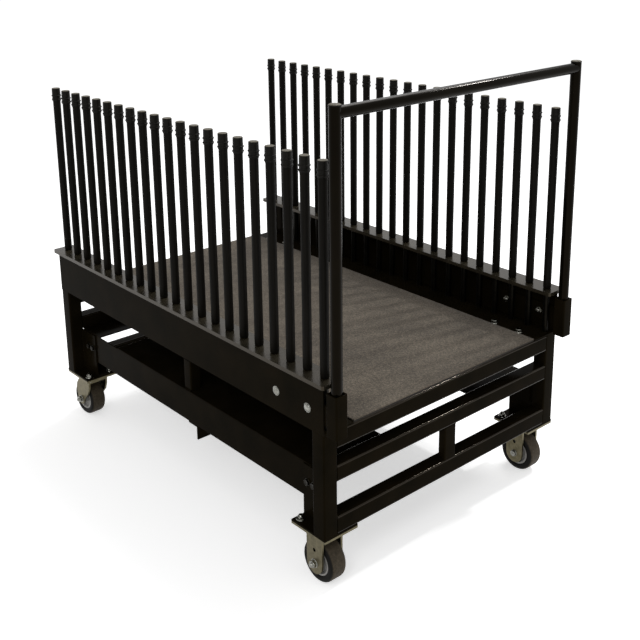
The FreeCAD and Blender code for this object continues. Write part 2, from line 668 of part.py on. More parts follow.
# Handle sockets, each with a strap bolted inside the rail
handle_x = half - S["handle_inset"]
handle_y = front - S["socket_stand_off"] - S["socket_side"] / 2
socket_low = frame_top + S["socket_lift"]
socket_bore = S["handle_diameter"] + S["handle_fit"] * 2
socket_wall = (S["socket_side"] - socket_bore) / 2
strap_face = half - S["rail_thickness"] - S["strap_thickness"]
for side, sign in SIDES.items():
    bottom = tube(f"{side}_socket_tube", S["socket_side"], S["socket_side"], socket_wall,
                  socket_wall + S["handle_fit"], S["socket_height"],
                  spot(handle_x * sign, handle_y, socket_low))
    floor = block(f"{side}_socket_floor", (socket_bore, socket_bore, S["socket_floor"]),
                  (handle_x * sign - socket_bore / 2, handle_y - socket_bore / 2, socket_low))
    strap_length = web_bolt_ys[-1] + S["strap_bolt_edge"] - front + S["socket_stand_off"]
    strap_span = (S["strap_thickness"], strap_length, S["strap_height"])
    strap = block(f"{side}_strap", strap_span,
                  (strap_face if sign > 0 else -strap_face - S["strap_thickness"],
                   front - S["socket_stand_off"], web_bolt_z - S["strap_height"] / 2))
    holes = copies(f"{side}_strap_holes", web_hole,
                   [spot((strap_face - S["overrun"]) * sign, y, web_bolt_z, *OUTWARD[sign])
                    for y in web_bolt_ys])
    welded = fuse(f"{side}_socket_weld", [bottom, floor, strap])
    node(cut(f"{side}_socket_holed", welded, [holes]), f"{side}_socket")

DOME_SHARES = [(1, 0), (0.97, 0.3), (0.82, 0.66), (0.55, 0.9), (0.25, 0.985), (0, 1)]
dome_outline = [(S["dome_diameter"] / 2 * r, S["dome_height"] * z) for r, z in DOME_SHARES]
dome = turned("socket_bolt_dome", [(ZERO, ZERO)] + dome_outline, spot(ZERO, ZERO, ZERO, *TURNED_UP))
socket_grip = S["rail_thickness"] + S["strap_thickness"]
socket_shank = socket_grip + S["m12_nut"] + S["bolt_stick"]
socket_bolt = fuse("socket_bolt", [dome, pin("socket_bolt_shank", m12_radius,
                                             socket_shank + S["dome_height"] / 2, spot(z=-socket_shank))])
web_places = [(sign, y) for sign in (-1, 1) for y in web_bolt_ys]
node(copies("socket_bolts", socket_bolt,
            [spot(half * sign, y, web_bolt_z, *OUTWARD[sign]) for sign, y in web_places]), "socket_bolts")

m12_nut = cut("m12_nut_holed", hexagon("m12_nut_hexagon", S["m12_flats"], S["m12_nut"], spot()),
              [pin("m12_nut_thread", m12_radius + S["thread_clear"], S["m12_nut"] + S["overrun"] * 2,
                   spot(z=-S["overrun"]))])
node(copies("frame_nuts", m12_nut,
            [spot((strap_face - S["m12_nut"]) * sign, y, web_bolt_z, *OUTWARD[sign]) for sign, y in web_places]
            + [spot((post_inner - S["beam_thickness"] - S["m12_nut"]) * sign, y, bolt_z, *OUTWARD[sign])
               for sign, y in bolt_places]), "frame_nuts")

# Lift-out handle
handle_radius = S["handle_diameter"] / 2
handle_bore = handle_radius - S["handle_wall"]
handle_foot = socket_low + S["socket_floor"] + S["seat_gap"]
handle_top = frame_top + S["handle_rise"]
crossbar_z = handle_top - S["crossbar_drop"]
handle_length = handle_top - handle_foot
for side, sign in SIDES.items():
    skin = pin(f"handle_{side}_skin", handle_radius, handle_length,
               spot(handle_x * sign, handle_y, handle_foot))
    bore = pin(f"handle_{side}_bore", handle_bore, handle_length + S["overrun"] * 2,
               spot(handle_x * sign, handle_y, handle_foot - S["overrun"]))
    node(cut(f"handle_{side}_tube", skin, [bore]), f"handle_{side}_post")
bar_skin = pin("crossbar_skin", handle_radius, handle_x * 2, spot(-handle_x, handle_y, crossbar_z, *TO_RIGHT))
bar_bore = pin("crossbar_bore", handle_bore, handle_x * 2 + S["overrun"] * 2,
               spot(-handle_x - S["overrun"], handle_y, crossbar_z, *TO_RIGHT))
copes = [pin(f"cope_{sign}", handle_radius, S["handle_rise"],
             spot(handle_x * sign, handle_y, crossbar_z - S["handle_rise"] / 2)) for sign in (-1, 1)]
node(cut("crossbar_coped", bar_skin, [bar_bore, *copes]), "handle_crossbar")
plug_radius = handle_bore - S["thread_clear"]
CAP_SHARES = [(1, 0.35), (0.9, 0.62), (0.7, 0.83), (0.4, 0.96), (0, 1)]
handle_cap = turned("handle_cap", [(ZERO, -S["handle_plug"]), (plug_radius, -S["handle_plug"]),
                                   (plug_radius, ZERO), (handle_radius, ZERO)]
                    + [(handle_radius * r, S["handle_cap_rise"] * z) for r, z in CAP_SHARES],
                    spot(ZERO, ZERO, ZERO, *TURNED_UP))
node(copies("handle_caps", handle_cap,
            [spot(handle_x * sign, handle_y, handle_top, *TURNED_UP) for sign in (-1, 1)]), "handle_caps")

# Frame pads, caster bolts and nuts
plate_places = [(sign, face + S["plate_length"] / 2 * inward)
                for sign in (-1, 1) for face, inward in ENDS.values()]
bolt_grid = [(S["plate_bolts_across"] / 2 * a, S["plate_bolts_along"] / 2 * b)
             for a in (-1, 1) for b in (-1, 1)]
plate_hole = pin("plate_hole", m10_hole, S["caster_height"], spot())


def plate_holes(label):
    return copies(label, plate_hole, [spot(x, y, S["caster_height"] / 2) for x, y in bolt_grid])


pad_blank = block("pad_blank", (S["plate_width"], S["plate_length"], S["pad_thickness"]),
                  (-S["plate_width"] / 2, -S["plate_length"] / 2, S["caster_height"]))
frame_pad = cut("frame_pad", pad_blank, [plate_holes("pad_holes")])
node(copies("caster_pads", frame_pad, [spot(caster_x * sign, y) for sign, y in plate_places]), "caster_pads")

caster_grip = S["plate_thickness"] + S["pad_thickness"] + S["m10_nut"] + S["bolt_stick"]
caster_bolt = fuse("caster_bolt", [
    hexagon("caster_bolt_head", S["m10_flats"], S["m10_head"], spot(z=-S["m10_head"])),
    pin("caster_bolt_shank", m10_radius, caster_grip + S["m10_head"] / 2, spot(z=-S["m10_head"] / 2))])
node(copies("caster_bolts", caster_bolt,
            [spot(x, y, plate_low) for end in ENDS for x, y in caster_spots(end)]), "caster_bolts")
caster_nut = cut("caster_nut", hexagon("caster_nut_hexagon", S["m10_flats"], S["m10_nut"], spot()),
                 [pin("caster_nut_thread", m10_radius + S["thread_clear"], S["m10_nut"] + S["overrun"] * 2,
                      spot(z=-S["overrun"]))])
node(copies("caster_nuts", caster_nut,
            [spot(x, y, frame_foot) for end in ENDS for x, y in caster_spots(end, along=(1,))]), "caster_nuts")

# Caster pieces that both kinds share
leg_outer = S["leg_gap"] / 2 + S["leg_thickness"]
axle_radius = m12_radius
axle_hole = axle_radius + S["axle_running"]


def leg_pair(label, points, y, foot):
    """Two legs and their round ends at the axle, as wide as the foot."""
    legs = []
    for sign in (-1, 1):
        low = S["leg_gap"] / 2 if sign > 0 else -leg_outer
        legs.append(drawn(f"{label}_leg_{sign}", points, S["leg_thickness"], spot(low, ZERO, ZERO, *ALONG_X)))
        legs.append(pin(f"{label}_leg_end_{sign}", foot / 2, S["leg_thickness"],
                        spot(low, y, axle_z, *TO_RIGHT)))
    return legs


def axle_bore(label, y, z):
    return pin(label, axle_hole, leg_outer * 2 + S["overrun"] * 2,
               spot(-leg_outer - S["overrun"], y, z, *TO_RIGHT))


def top_plate(label):
    return block(label, (S["plate_width"], S["plate_length"], S["plate_thickness"]),
                 (-S["plate_width"] / 2, -S["plate_length"] / 2, plate_low))


def axle(label):
    """A bolt along X with its head at the +X leg."""
    return fuse(label, [
        hexagon(label + "_head", S["axle_flats"], S["m12_head"], spot(leg_outer, ZERO, ZERO, *TO_RIGHT)),
        pin(label + "_shank", axle_radius, leg_outer * 2 + S["m12_nut"] + S["bolt_stick"] + S["m12_head"] / 2,
            spot(-leg_outer - S["m12_nut"] - S["bolt_stick"], ZERO, ZERO, *TO_RIGHT))])


def axle_nut(label):
    return cut(label, hexagon(label + "_hexagon", S["axle_flats"], S["m12_nut"],
                              spot(-leg_outer - S["m12_nut"], ZERO, ZERO, *TO_RIGHT)),
               [pin(label + "_thread", axle_radius + S["thread_clear"], S["m12_nut"] + S["overrun"] * 2,
                    spot(-leg_outer - S["m12_nut"] - S["overrun"], ZERO, ZERO, *TO_RIGHT))])


def wheel(label, where):
    """A hub with a recessed disc, and the tyre on its rim."""
    boss_half = S["leg_gap"] / 2 - S["boss_gap"]
    rim_half, web_half = S["rim_width"] / 2, S["web_width"] / 2
    rim_radius = axle_z - S["tyre_depth"]
    rim_inner, boss_radius = rim_radius - S["rim_wall"], S["boss_diameter"] / 2
    outline = [(axle_hole, -boss_half), (boss_radius, -boss_half), (boss_radius, -web_half),
               (rim_inner, -web_half), (rim_inner, -rim_half), (rim_radius, -rim_half),
               (rim_radius, rim_half), (rim_inner, rim_half), (rim_inner, web_half),
               (boss_radius, web_half), (boss_radius, boss_half), (axle_hole, boss_half)]
    node(turned(f"{label}_hub", outline, where), f"{label}_hub")
    inner, outer, half_width = rim_radius + S["tyre_fit"], axle_z, S["tyre_width"] / 2
    tyre = turned(f"{label}_tyre", [(inner, -half_width), (outer, -half_width), (outer, half_width),
                                    (inner, half_width)], where)
    DOC.recompute()
    ring = tyre.Tip
    edges = [f"Edge{i}" for i, edge in enumerate(ring.Shape.Edges, start=1)
             if isinstance(edge.Curve, Part.Circle)
             and abs(edge.Curve.Radius - outer.value) < S["tyre_fit"].value]
    shoulder = tyre.newObject("PartDesign::Fillet", f"{label}_shoulder")
    shoulder.Base = (ring, edges)
    shoulder.setExpression("Radius", S["tyre_round"].text)
    tyre.Tip = shoulder
    node(tyre, f"{label}_tyre")


TURNED_WHEEL = spot(ZERO, ZERO, ZERO, *TURNED_X)

# Fixed casters at the front
front_y = front + S["plate_length"] / 2
top_half, foot_half = S["leg_top_width"] / 2, S["leg_foot_width"] / 2
for side, sign in SIDES.items():
    name = f"front_{side}"
    solid = fuse(f"{name}_yoke_weld", [top_plate(f"{name}_plate")] + leg_pair(
        name, [(-top_half, plate_low), (top_half, plate_low), (foot_half, axle_z), (-foot_half, axle_z)], ZERO,
        S["leg_foot_width"]))
    node(cut(f"{name}_yoke_holed", solid,
             [plate_holes(f"{name}_holes"), axle_bore(f"{name}_bore", ZERO, axle_z),
              axle_bore(f"{name}_spare", ZERO, axle_z + S["spare_hole_rise"])], spot(caster_x * sign, front_y)),
         f"{name}_yoke")
    wheel(name, f"{spot(caster_x * sign, front_y, axle_z)} * {TURNED_WHEEL}")
front_axle_places = [spot(-caster_x, front_y, axle_z), spot(caster_x, front_y, axle_z, (0, 0, 1), 180)]
front_axle = group("front_axle_set", [axle("front_axle"), axle_nut("front_axle_nut")])
node(copies("front_axles", front_axle, front_axle_places), "front_axles")

# Swivel casters at the rear
rear_y = rear - S["plate_length"] / 2
kingpin_radius = S["kingpin_diameter"] / 2
kingpin_hole = kingpin_radius + S["axle_running"]
trail, crown_half = S["fork_trail"], S["crown_length"] / 2
fork_half = S["fork_foot_width"] / 2
LEG_SHARES = [(-1, 1), (-0.93, 0.72), (-0.66, 0.42)]
BACK_SHARES = [(1.72, 0.42), (1.56, 0.70), (1, 1)]
for side, sign in SIDES.items():
    name = f"rear_{side}"
    here = spot(caster_x * sign, rear_y, ZERO, (0, 0, 1), S[f"{side}_turn"] * -sign)
    straight = spot(caster_x * sign, rear_y)
    plate = fuse(f"{name}_plate_weld", [top_plate(f"{name}_plate"),
                                        pin(f"{name}_race", S["race_diameter"] / 2, S["race_height"],
                                            spot(z=race_low))])
    plate_bore = pin(f"{name}_plate_bore", kingpin_hole, S["caster_height"],
                     spot(z=S["caster_height"] / 2))
    node(cut(f"{name}_plate_holed", plate, [plate_holes(f"{name}_holes"), plate_bore], straight),
         f"{name}_caster_plate")
    drop = crown_top - axle_z
    outline = [(crown_half * a, axle_z + drop * b) for a, b in LEG_SHARES]
    outline += [(trail - fork_half, axle_z), (trail + fork_half, axle_z)]
    outline += [(crown_half * a, axle_z + drop * b) for a, b in BACK_SHARES]
    solid = fuse(f"{name}_fork_weld", [
        block(f"{name}_crown", (leg_outer * 2, S["crown_length"], S["crown_thickness"]),
              (-leg_outer, -crown_half, crown_low)),
        pin(f"{name}_cup", S["race_diameter"] / 2, S["cup_height"] + S["crown_thickness"], spot(z=crown_low)),
        *leg_pair(name, outline, trail, S["fork_foot_width"])])
    node(cut(f"{name}_fork_holed", solid,
             [pin(f"{name}_kingpin_bore", kingpin_hole, S["caster_height"], spot(z=crown_low - S["overrun"])),
              axle_bore(f"{name}_bore", trail, axle_z)], here), f"{name}_fork")
    turn = f"{here} * {spot(ZERO, trail, axle_z)}"
    wheel(name, f"{turn} * {TURNED_WHEEL}")
    node(group(f"{name}_axle_set", [axle(f"{name}_axle_bolt"), axle_nut(f"{name}_axle_nut")], turn),
         f"{name}_axle")

kingpin_foot = crown_low - S["seat_gap"] - S["kingpin_nut"]
kingpin = fuse("kingpin", [
    pin("kingpin_shank", kingpin_radius, S["caster_height"] - kingpin_foot, spot(z=kingpin_foot)),
    hexagon("kingpin_nut", S["kingpin_flats"], S["kingpin_nut"], spot(z=kingpin_foot))])
rear_places = [spot(caster_x * sign, rear_y) for sign in (-1, 1)]
node(copies("kingpins", kingpin, rear_places), "kingpins")
ball = add("Part::Sphere", "ball", spot(), Radius=S["ball_diameter"] / 2)
ball_z = race_low - S["ball_clear"] - S["ball_diameter"] / 2
balls = int(S["ball_count"].value)
node(copies("race_balls", ball,
            [f"{where} * {spot(ZERO, ZERO, ball_z, (0, 0, 1), Size.of(360) / S['ball_count'] * k)}"
             f" * {spot(S['ball_ring'] / 2)}" for where in rear_places for k in range(balls)]), "race_balls")

# Every piece is checked before it is written.
DOC.recompute()
for obj in DOC.Objects:
    if "Invalid" in obj.State or "Error" in obj.State:
        raise RuntimeError(f"{obj.Label} did not build: {obj.State}")
os.makedirs("parts", exist_ok=True)
for label, obj in NODES.items():
    shape = obj.Shape
    if not shape.isValid() or not shape.Solids or not all(s.isClosed() for s in shape.Solids):
        raise RuntimeError(f"{label} is not a closed valid shape")
    shape.exportStep(f"parts/{label}.step")
    box = shape.BoundBox
    print(f"{label}: {len(shape.Solids)} solids, {box.XMin:.1f} {box.XMax:.1f} x {box.YMin:.1f} {box.YMax:.1f}"
          f" x {box.ZMin:.1f} {box.ZMax:.1f}")
print(len(NODES), "nodes")
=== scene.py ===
# %% [markdown]
# # A glazing trolley, dressed
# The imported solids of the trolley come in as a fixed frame, in metres, and this lesson gives them their looks.
# Shapes that a maker would round, press or weld are worked out as numpy surfaces or as softened copies, and every
# steel, rubber, plastic and carpet face gets a finish made of nodes. Sizes are written in millimetres.

# %% Load the frame
import json
import math

import bmesh
import bpy
import numpy as np
from mathutils import Matrix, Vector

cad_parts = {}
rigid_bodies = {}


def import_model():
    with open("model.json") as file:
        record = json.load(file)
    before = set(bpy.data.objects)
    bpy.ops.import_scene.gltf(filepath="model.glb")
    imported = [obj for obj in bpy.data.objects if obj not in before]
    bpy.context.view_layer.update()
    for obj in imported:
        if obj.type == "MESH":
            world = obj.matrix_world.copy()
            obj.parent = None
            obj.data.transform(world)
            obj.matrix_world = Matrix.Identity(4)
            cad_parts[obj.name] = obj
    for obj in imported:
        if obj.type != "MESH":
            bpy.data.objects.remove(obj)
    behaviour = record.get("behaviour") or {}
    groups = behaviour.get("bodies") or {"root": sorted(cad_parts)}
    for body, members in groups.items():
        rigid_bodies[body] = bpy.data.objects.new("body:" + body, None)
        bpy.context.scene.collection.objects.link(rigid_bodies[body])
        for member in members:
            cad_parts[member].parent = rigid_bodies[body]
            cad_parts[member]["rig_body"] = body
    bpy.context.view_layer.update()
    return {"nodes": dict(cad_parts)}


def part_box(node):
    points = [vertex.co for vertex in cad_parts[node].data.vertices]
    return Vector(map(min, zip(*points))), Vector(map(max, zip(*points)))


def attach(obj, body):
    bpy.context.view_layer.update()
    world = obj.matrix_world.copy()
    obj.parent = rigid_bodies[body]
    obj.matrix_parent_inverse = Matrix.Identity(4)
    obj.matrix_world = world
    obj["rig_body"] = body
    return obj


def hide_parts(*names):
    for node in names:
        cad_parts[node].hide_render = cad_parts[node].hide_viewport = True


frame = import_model()
nodes = frame["nodes"]
MM = 0.001


def box_of(node):
    """The low and the high corner of a solid's box, in millimetres."""
    return [np.array(corner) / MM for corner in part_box(node)]


# %% [markdown]
# ## Camera
# The photograph was taken from the handle end, over the left rail. Its camera can be found from the feet and tops of
# the evenly spaced rods: yaw, pitch and roll turn the view, and the picture's optical centre, which lies high in the
# cropped picture, becomes the lens shift. A camera can be turned with three angles, but then their order matters. A
# matrix of its right, up and backward directions sets it exactly.

# %% Camera
PICTURE = 640.0
EYE = np.array([-2143.465, -2603.355, 1904.665]) * MM
YAW, PITCH, ROLL = np.radians([-41.3003, -15.2693, -0.5525])
FOCAL_PIXELS, CENTRE_ACROSS, CENTRE_DOWN = 1024.1057, 326.7241, 180.0
SENSOR, FARTHEST = 36.0, 200.0


def stand(held, turn, origin):
    """Places a camera or a lamp: the columns of the turn are its axes, and its origin is in metres."""
    bpy.context.scene.collection.objects.link(held)
    matrix = np.eye(4)
    matrix[:3, :3], matrix[:3, 3] = turn, origin
    held.matrix_world = Matrix(matrix.tolist())


ahead = np.array([-math.sin(YAW) * math.cos(PITCH), math.cos(YAW) * math.cos(PITCH), math.sin(PITCH)])
level_right = np.array([math.cos(YAW), math.sin(YAW), 0.0])
level_up = np.cross(level_right, ahead)
view_right = level_right * math.cos(ROLL) + level_up * math.sin(ROLL)
view_up = level_up * math.cos(ROLL) - level_right * math.sin(ROLL)

lens = bpy.data.cameras.new("camera")
lens.sensor_width = SENSOR
lens.lens = FOCAL_PIXELS * SENSOR / PICTURE
lens.shift_x = (PICTURE / 2 - CENTRE_ACROSS) / PICTURE
lens.shift_y = (CENTRE_DOWN - PICTURE / 2) / PICTURE
lens.clip_end = FARTHEST
camera = bpy.data.objects.new("camera", lens)
stand(camera, np.stack([view_right, view_up, -ahead], axis=1), EYE)
bpy.context.scene.camera = camera
bpy.context.scene.view_settings.view_transform = "Standard"
print("lens", round(lens.lens, 1), "mm, shift", round(lens.shift_x, 3), round(lens.shift_y, 3))

# %% [markdown]
# ## Colours
# Paint, rubber and carpet colours are read as they are written on a colour card, in sRGB. The renderer adds up linear
# light, and a card's value put in directly would come out too pale, so one helper turns it by the sRGB curve.

# %% Colours
def linear(code):
    """A hex colour such as #16140F as linear red, green, blue and alpha, by the sRGB curve."""
    srgb = np.array([int(code[i:i + 2], 16) for i in (1, 3, 5)]) / 255.0
    values = np.where(srgb <= 0.04045, srgb / 12.92, ((srgb + 0.055) / 1.055) ** 2.4)
    return (*values.tolist(), 1.0)


def grey(value):
    """A linear grey, for a roughness or a plain white."""
    return (value, value, value, 1.0)


print("the colour #808080 is", round(linear("#808080")[0], 3), "in linear light")

# %% [markdown]
# ## Finishes: the tools
# A finish is a small graph of nodes. It could be drawn by hand in the shader editor, but a script can be read and
# changed. One helper adds a node, sets it and links it. Patterns are drawn in object space, where one unit is a
# metre, so a pattern of a given size in millimetres has a scale of 1000 over it.

# %% Nodes
def every(size):
    """The pattern scale for a feature of this many millimetres."""
    return 1.0 / (size * MM)


def plug(tree, made, inputs):
    """Links or sets each named or numbered socket of a node."""
    for key, value in inputs.items():
        if isinstance(value, bpy.types.NodeSocket):
            tree.links.new(value, made.inputs[key])
        else:
            made.inputs[key].default_value = value


def add(tree, kind, inputs=None, stops=None, **settings):
    """Adds a node, sets its properties and colour stops, then plugs in its sockets."""
    made = tree.nodes.new(kind)
    for key, value in settings.items():
        setattr(made, key, value)
    if stops:
        while len(made.color_ramp.elements) < len(stops):
            made.color_ramp.elements.new(0.5)
        for element, (place, colour) in zip(made.color_ramp.elements, stops):
            element.position, element.color = place, colour
    plug(tree, made, inputs or {})
    return made


def new_finish(name):
    """A material with its shader, and the object coordinates that its patterns are drawn in."""
    material = bpy.data.materials.new(name)
    material.use_nodes = True
    tree = material.node_tree
    shader = next(n for n in tree.nodes if n.type == "BSDF_PRINCIPLED")
    place = add(tree, "ShaderNodeTexCoord").outputs["Object"]
    return material, tree, shader, place


print("a pattern of 5 mm has a scale of", every(5))

# %% [markdown]
# ## Gloss black powder coat
# The frame, rails and handle are steel with baked powder. Powder melts into a skin that is glossy but not flat: slow
# ripples, called orange peel, break up its reflections. Ripples as geometry would take millions of faces, so they are
# a shallow bump. On the real coat they are 2 to 3 mm apart, here they are drawn 7 mm apart so that they still show. A
# warm black with a low reflectance keeps faces as deep as they are. The rounded corners of the bars draw thin gleams,
# so they have a glossier coat of their own.

# %% Powder coat
CLOUDS, RIPPLES, RIPPLE_DEPTH = 90, 7, 0.4


def powder_coat(name, dark, light, smooth, rough, peel, level):
    """Warm black with slow clouds of tone, a roughness between two values, and orange peel as a shallow bump."""
    material, tree, shader, place = new_finish(name)
    clouds = add(tree, "ShaderNodeTexNoise", {"Vector": place, "Scale": every(CLOUDS), "Detail": 3.0})
    tone = add(tree, "ShaderNodeValToRGB", {"Fac": clouds.outputs["Fac"]},
               [(0.3, linear(dark)), (0.7, linear(light))])
    gloss = add(tree, "ShaderNodeValToRGB", {"Fac": clouds.outputs["Fac"]},
                [(0.35, grey(smooth)), (0.7, grey(rough))])
    ripples = add(tree, "ShaderNodeTexNoise", {"Vector": place, "Scale": every(RIPPLES), "Detail": 1.0})
    bump = add(tree, "ShaderNodeBump", {"Height": ripples.outputs["Fac"], "Strength": peel,
                                        "Distance": RIPPLE_DEPTH * MM})
    plug(tree, shader, {"Base Color": tone.outputs["Color"], "Roughness": gloss.outputs["Color"],
                        "Normal": bump.outputs["Normal"], "Specular IOR Level": level,
                        "Specular Tint": linear("#FFE9CC")})
    return material


frame_coat = powder_coat("gloss_black_powder_coat_on_tube", "#100D06", "#18130A", 0.12, 0.22, 0.10, 0.008)
bar_coat = powder_coat("gloss_black_powder_coat_on_flat_bar", "#1A1812", "#28241C", 0.18, 0.32, 0.10, 0.28)
handle_coat = powder_coat("gloss_black_powder_coat_on_handle", "#050402", "#0B0905", 0.08, 0.14, 0.06, 0.05)
corner_coat = powder_coat("gloss_black_powder_coat_on_corners", "#0C0A06", "#130F09", 0.09, 0.14, 0.05, 0.2)
print("powder coats on", [coat.name.split("_on_")[1] for coat in (frame_coat, bar_coat, handle_coat, corner_coat)])

# %% [markdown]
# ## Sleeve rubber
# The sleeves are extruded soft rubber, matt, with fine draw lines along their length, where the die dragged on them.
# The lines are far too shallow for geometry. Noise that is stretched 25 times along the rod draws them as tone and
# bump together, 5 mm apart, which is as coarse as it takes for them to show.

# %% Sleeve rubber
DRAW_LINES, STRETCHED = 5, (1.0, 1.0, 0.04)
sleeve_rubber, tree, shader, place = new_finish("extruded_black_rubber")
drawn = add(tree, "ShaderNodeMapping", {"Vector": place, "Scale": STRETCHED})
lines = add(tree, "ShaderNodeTexNoise", {"Vector": drawn.outputs["Vector"], "Scale": every(DRAW_LINES), "Detail": 2.0})
tone = add(tree, "ShaderNodeValToRGB", {"Fac": lines.outputs["Fac"]},
           [(0.3, linear("#0A0907")), (0.7, linear("#13110D"))])
bump = add(tree, "ShaderNodeBump", {"Height": lines.outputs["Fac"], "Strength": 0.25, "Distance": 0.5 * MM})
plug(tree, shader, {"Base Color": tone.outputs["Color"], "Normal": bump.outputs["Normal"], "Roughness": 0.5,
                    "Specular IOR Level": 0.05})
print(sleeve_rubber.name, len(tree.nodes), "nodes")

# %% [markdown]
# ## Cap vinyl
# The end caps are moulded in vinyl with a crinkled skin, a little shinier than the sleeves. Their flat tops have a
# painted highlight: a paler tone that stands in for the light they catch from above. The tops could have a material of
# their own, but then the painted highlight would end in a hard line. A value stored on the mesh marks the tops instead
# and is added to the crinkle, so that the paler tone breaks up.

# %% Cap vinyl
CRINKLE = 6
cap_vinyl, tree, shader, place = new_finish("moulded_black_vinyl")
crinkle = add(tree, "ShaderNodeTexNoise",
              {"Vector": place, "Scale": every(CRINKLE), "Detail": 4.0, "Roughness": 0.65})
# The value on the flat tops lifts the tone into the palest stop, which is the painted highlight.
top_highlight_mark = add(tree, "ShaderNodeAttribute", attribute_name="painted_top_light")
painted_top_highlight = add(tree, "ShaderNodeMath", {0: top_highlight_mark.outputs["Fac"], 1: 0.6, 2: crinkle.outputs["Fac"]},
             operation="MULTIPLY_ADD")
tone = add(tree, "ShaderNodeValToRGB", {"Fac": painted_top_highlight.outputs["Value"]},
           [(0.35, linear("#0A0907")), (0.7, linear("#191713")), (1.0, linear("#5A5549"))])
bump = add(tree, "ShaderNodeBump", {"Height": crinkle.outputs["Fac"], "Strength": 0.5, "Distance": 1.0 * MM})
plug(tree, shader, {"Base Color": tone.outputs["Color"], "Normal": bump.outputs["Normal"], "Roughness": 0.42,
                    "Specular IOR Level": 0.08})
print(cap_vinyl.name, len(tree.nodes), "nodes")

# %% [markdown]
# ## Hub nylon
# The wheel hubs are moulded in hard grey nylon, an even, half-shiny plastic. One flat colour would look like paper, so
# soft specks of 9 mm change its tone a little and give it the faint waviness of a moulding.

# %% Hub nylon
SPECKS = 9
hub_nylon, tree, shader, place = new_finish("moulded_grey_nylon")
specks = add(tree, "ShaderNodeTexNoise", {"Vector": place, "Scale": every(SPECKS), "Detail": 3.0})
tone = add(tree, "ShaderNodeValToRGB", {"Fac": specks.outputs["Fac"]},
           [(0.3, linear("#8A8884")), (0.7, linear("#A9A7A3"))])
bump = add(tree, "ShaderNodeBump", {"Height": specks.outputs["Fac"], "Strength": 0.1, "Distance": 0.5 * MM})
plug(tree, shader, {"Base Color": tone.outputs["Color"], "Normal": bump.outputs["Normal"], "Roughness": 0.42})
print(hub_nylon.name, len(tree.nodes), "nodes")

# %% [markdown]
# ## Tyre rubber
# The tyres are solid black rubber, whose tread is scuffed to a dusty brown while the side walls stay dark. A second
# material on the tread would end in a hard line at the shoulder. A value called tread, stored on the mesh, is
# multiplied with scuffs of 8 mm instead, so that the dust fades out over the shoulder.

# %% Tyre rubber
SCUFFS = 8
tyre_rubber, tree, shader, place = new_finish("solid_black_tyre_rubber")
tread_mark = add(tree, "ShaderNodeAttribute", attribute_name="tread")
scuffs = add(tree, "ShaderNodeTexNoise", {"Vector": place, "Scale": every(SCUFFS), "Detail": 5.0, "Roughness": 0.7})
worn = add(tree, "ShaderNodeMath", {0: tread_mark.outputs["Fac"], 1: scuffs.outputs["Fac"]}, operation="MULTIPLY")
tone = add(tree, "ShaderNodeValToRGB", {"Fac": worn.outputs["Value"]},
           [(0.05, linear("#0E0D0B")), (0.5, linear("#423B30")), (0.75, linear("#544B3E"))])
bump = add(tree, "ShaderNodeBump", {"Height": scuffs.outputs["Fac"], "Strength": 0.2, "Distance": 0.6 * MM})
plug(tree, shader, {"Base Color": tone.outputs["Color"], "Normal": bump.outputs["Normal"], "Roughness": 0.6,
                    "Specular IOR Level": 0.1})
print(tyre_rubber.name, len(tree.nodes), "nodes")

# %% [markdown]
# ## Zinc
# Bolts and nuts are bright zinc plated. The caster forks and plates are pressed sheet with a duller, yellower zinc,
# mottled like frost on a window. Both are metals, so their colour is the colour of their reflections. Tone alone would
# look painted on, so the mottling goes into tone and roughness together. Black zinc and black oxide are the same
# surface in a dark tone, on the bolts of the corner plates and on the bare rods.

# %% Zinc plating
def zinc(name, dark, light, low, high, patch):
    """Metal whose tone and roughness wander together over patches of this many millimetres."""
    material, tree, shader, place = new_finish(name)
    frost = add(tree, "ShaderNodeTexNoise",
                {"Vector": place, "Scale": every(patch), "Detail": 5.0, "Roughness": 0.7})
    tone = add(tree, "ShaderNodeValToRGB", {"Fac": frost.outputs["Fac"]},
               [(0.3, linear(dark)), (0.7, linear(light))])
    gloss = add(tree, "ShaderNodeValToRGB", {"Fac": frost.outputs["Fac"]}, [(0.3, grey(low)), (0.7, grey(high))])
    bump = add(tree, "ShaderNodeBump", {"Height": frost.outputs["Fac"], "Strength": 0.12, "Distance": 0.3 * MM})
    plug(tree, shader, {"Base Color": tone.outputs["Color"], "Roughness": gloss.outputs["Color"],
                        "Normal": bump.outputs["Normal"], "Metallic": 1.0})
    return material


bolt_zinc = zinc("bright_zinc_plate", "#5C5B55", "#A4A49D", 0.10, 0.24, 8)
black_zinc = zinc("black_zinc_plate", "#15130F", "#24211B", 0.25, 0.40, 8)
caster_zinc = zinc("dull_yellow_zinc_plate", "#514C3A", "#746D57", 0.30, 0.48, 14)
rod_steel = zinc("black_oxide_steel", "#0F0E0B", "#1A1814", 0.35, 0.50, 20)
print("metals", [metal.name for metal in (bolt_zinc, black_zinc, caster_zinc, rod_steel)])

# %% [markdown]
# ## Carpet felt
# The deck wears needle-felt carpet: short fibres of several browns and greys punched into a mat, so the colour is a
# fine heather and the face is quite matt. Hair could draw each fibre, but from here it would only cost time. Real
# fibres are a tenth of a millimetre thick. The heather is drawn with tufts of 5 mm, which is about what the camera
# still sees, and a second, wide pattern stands for the pile leaning here and there.

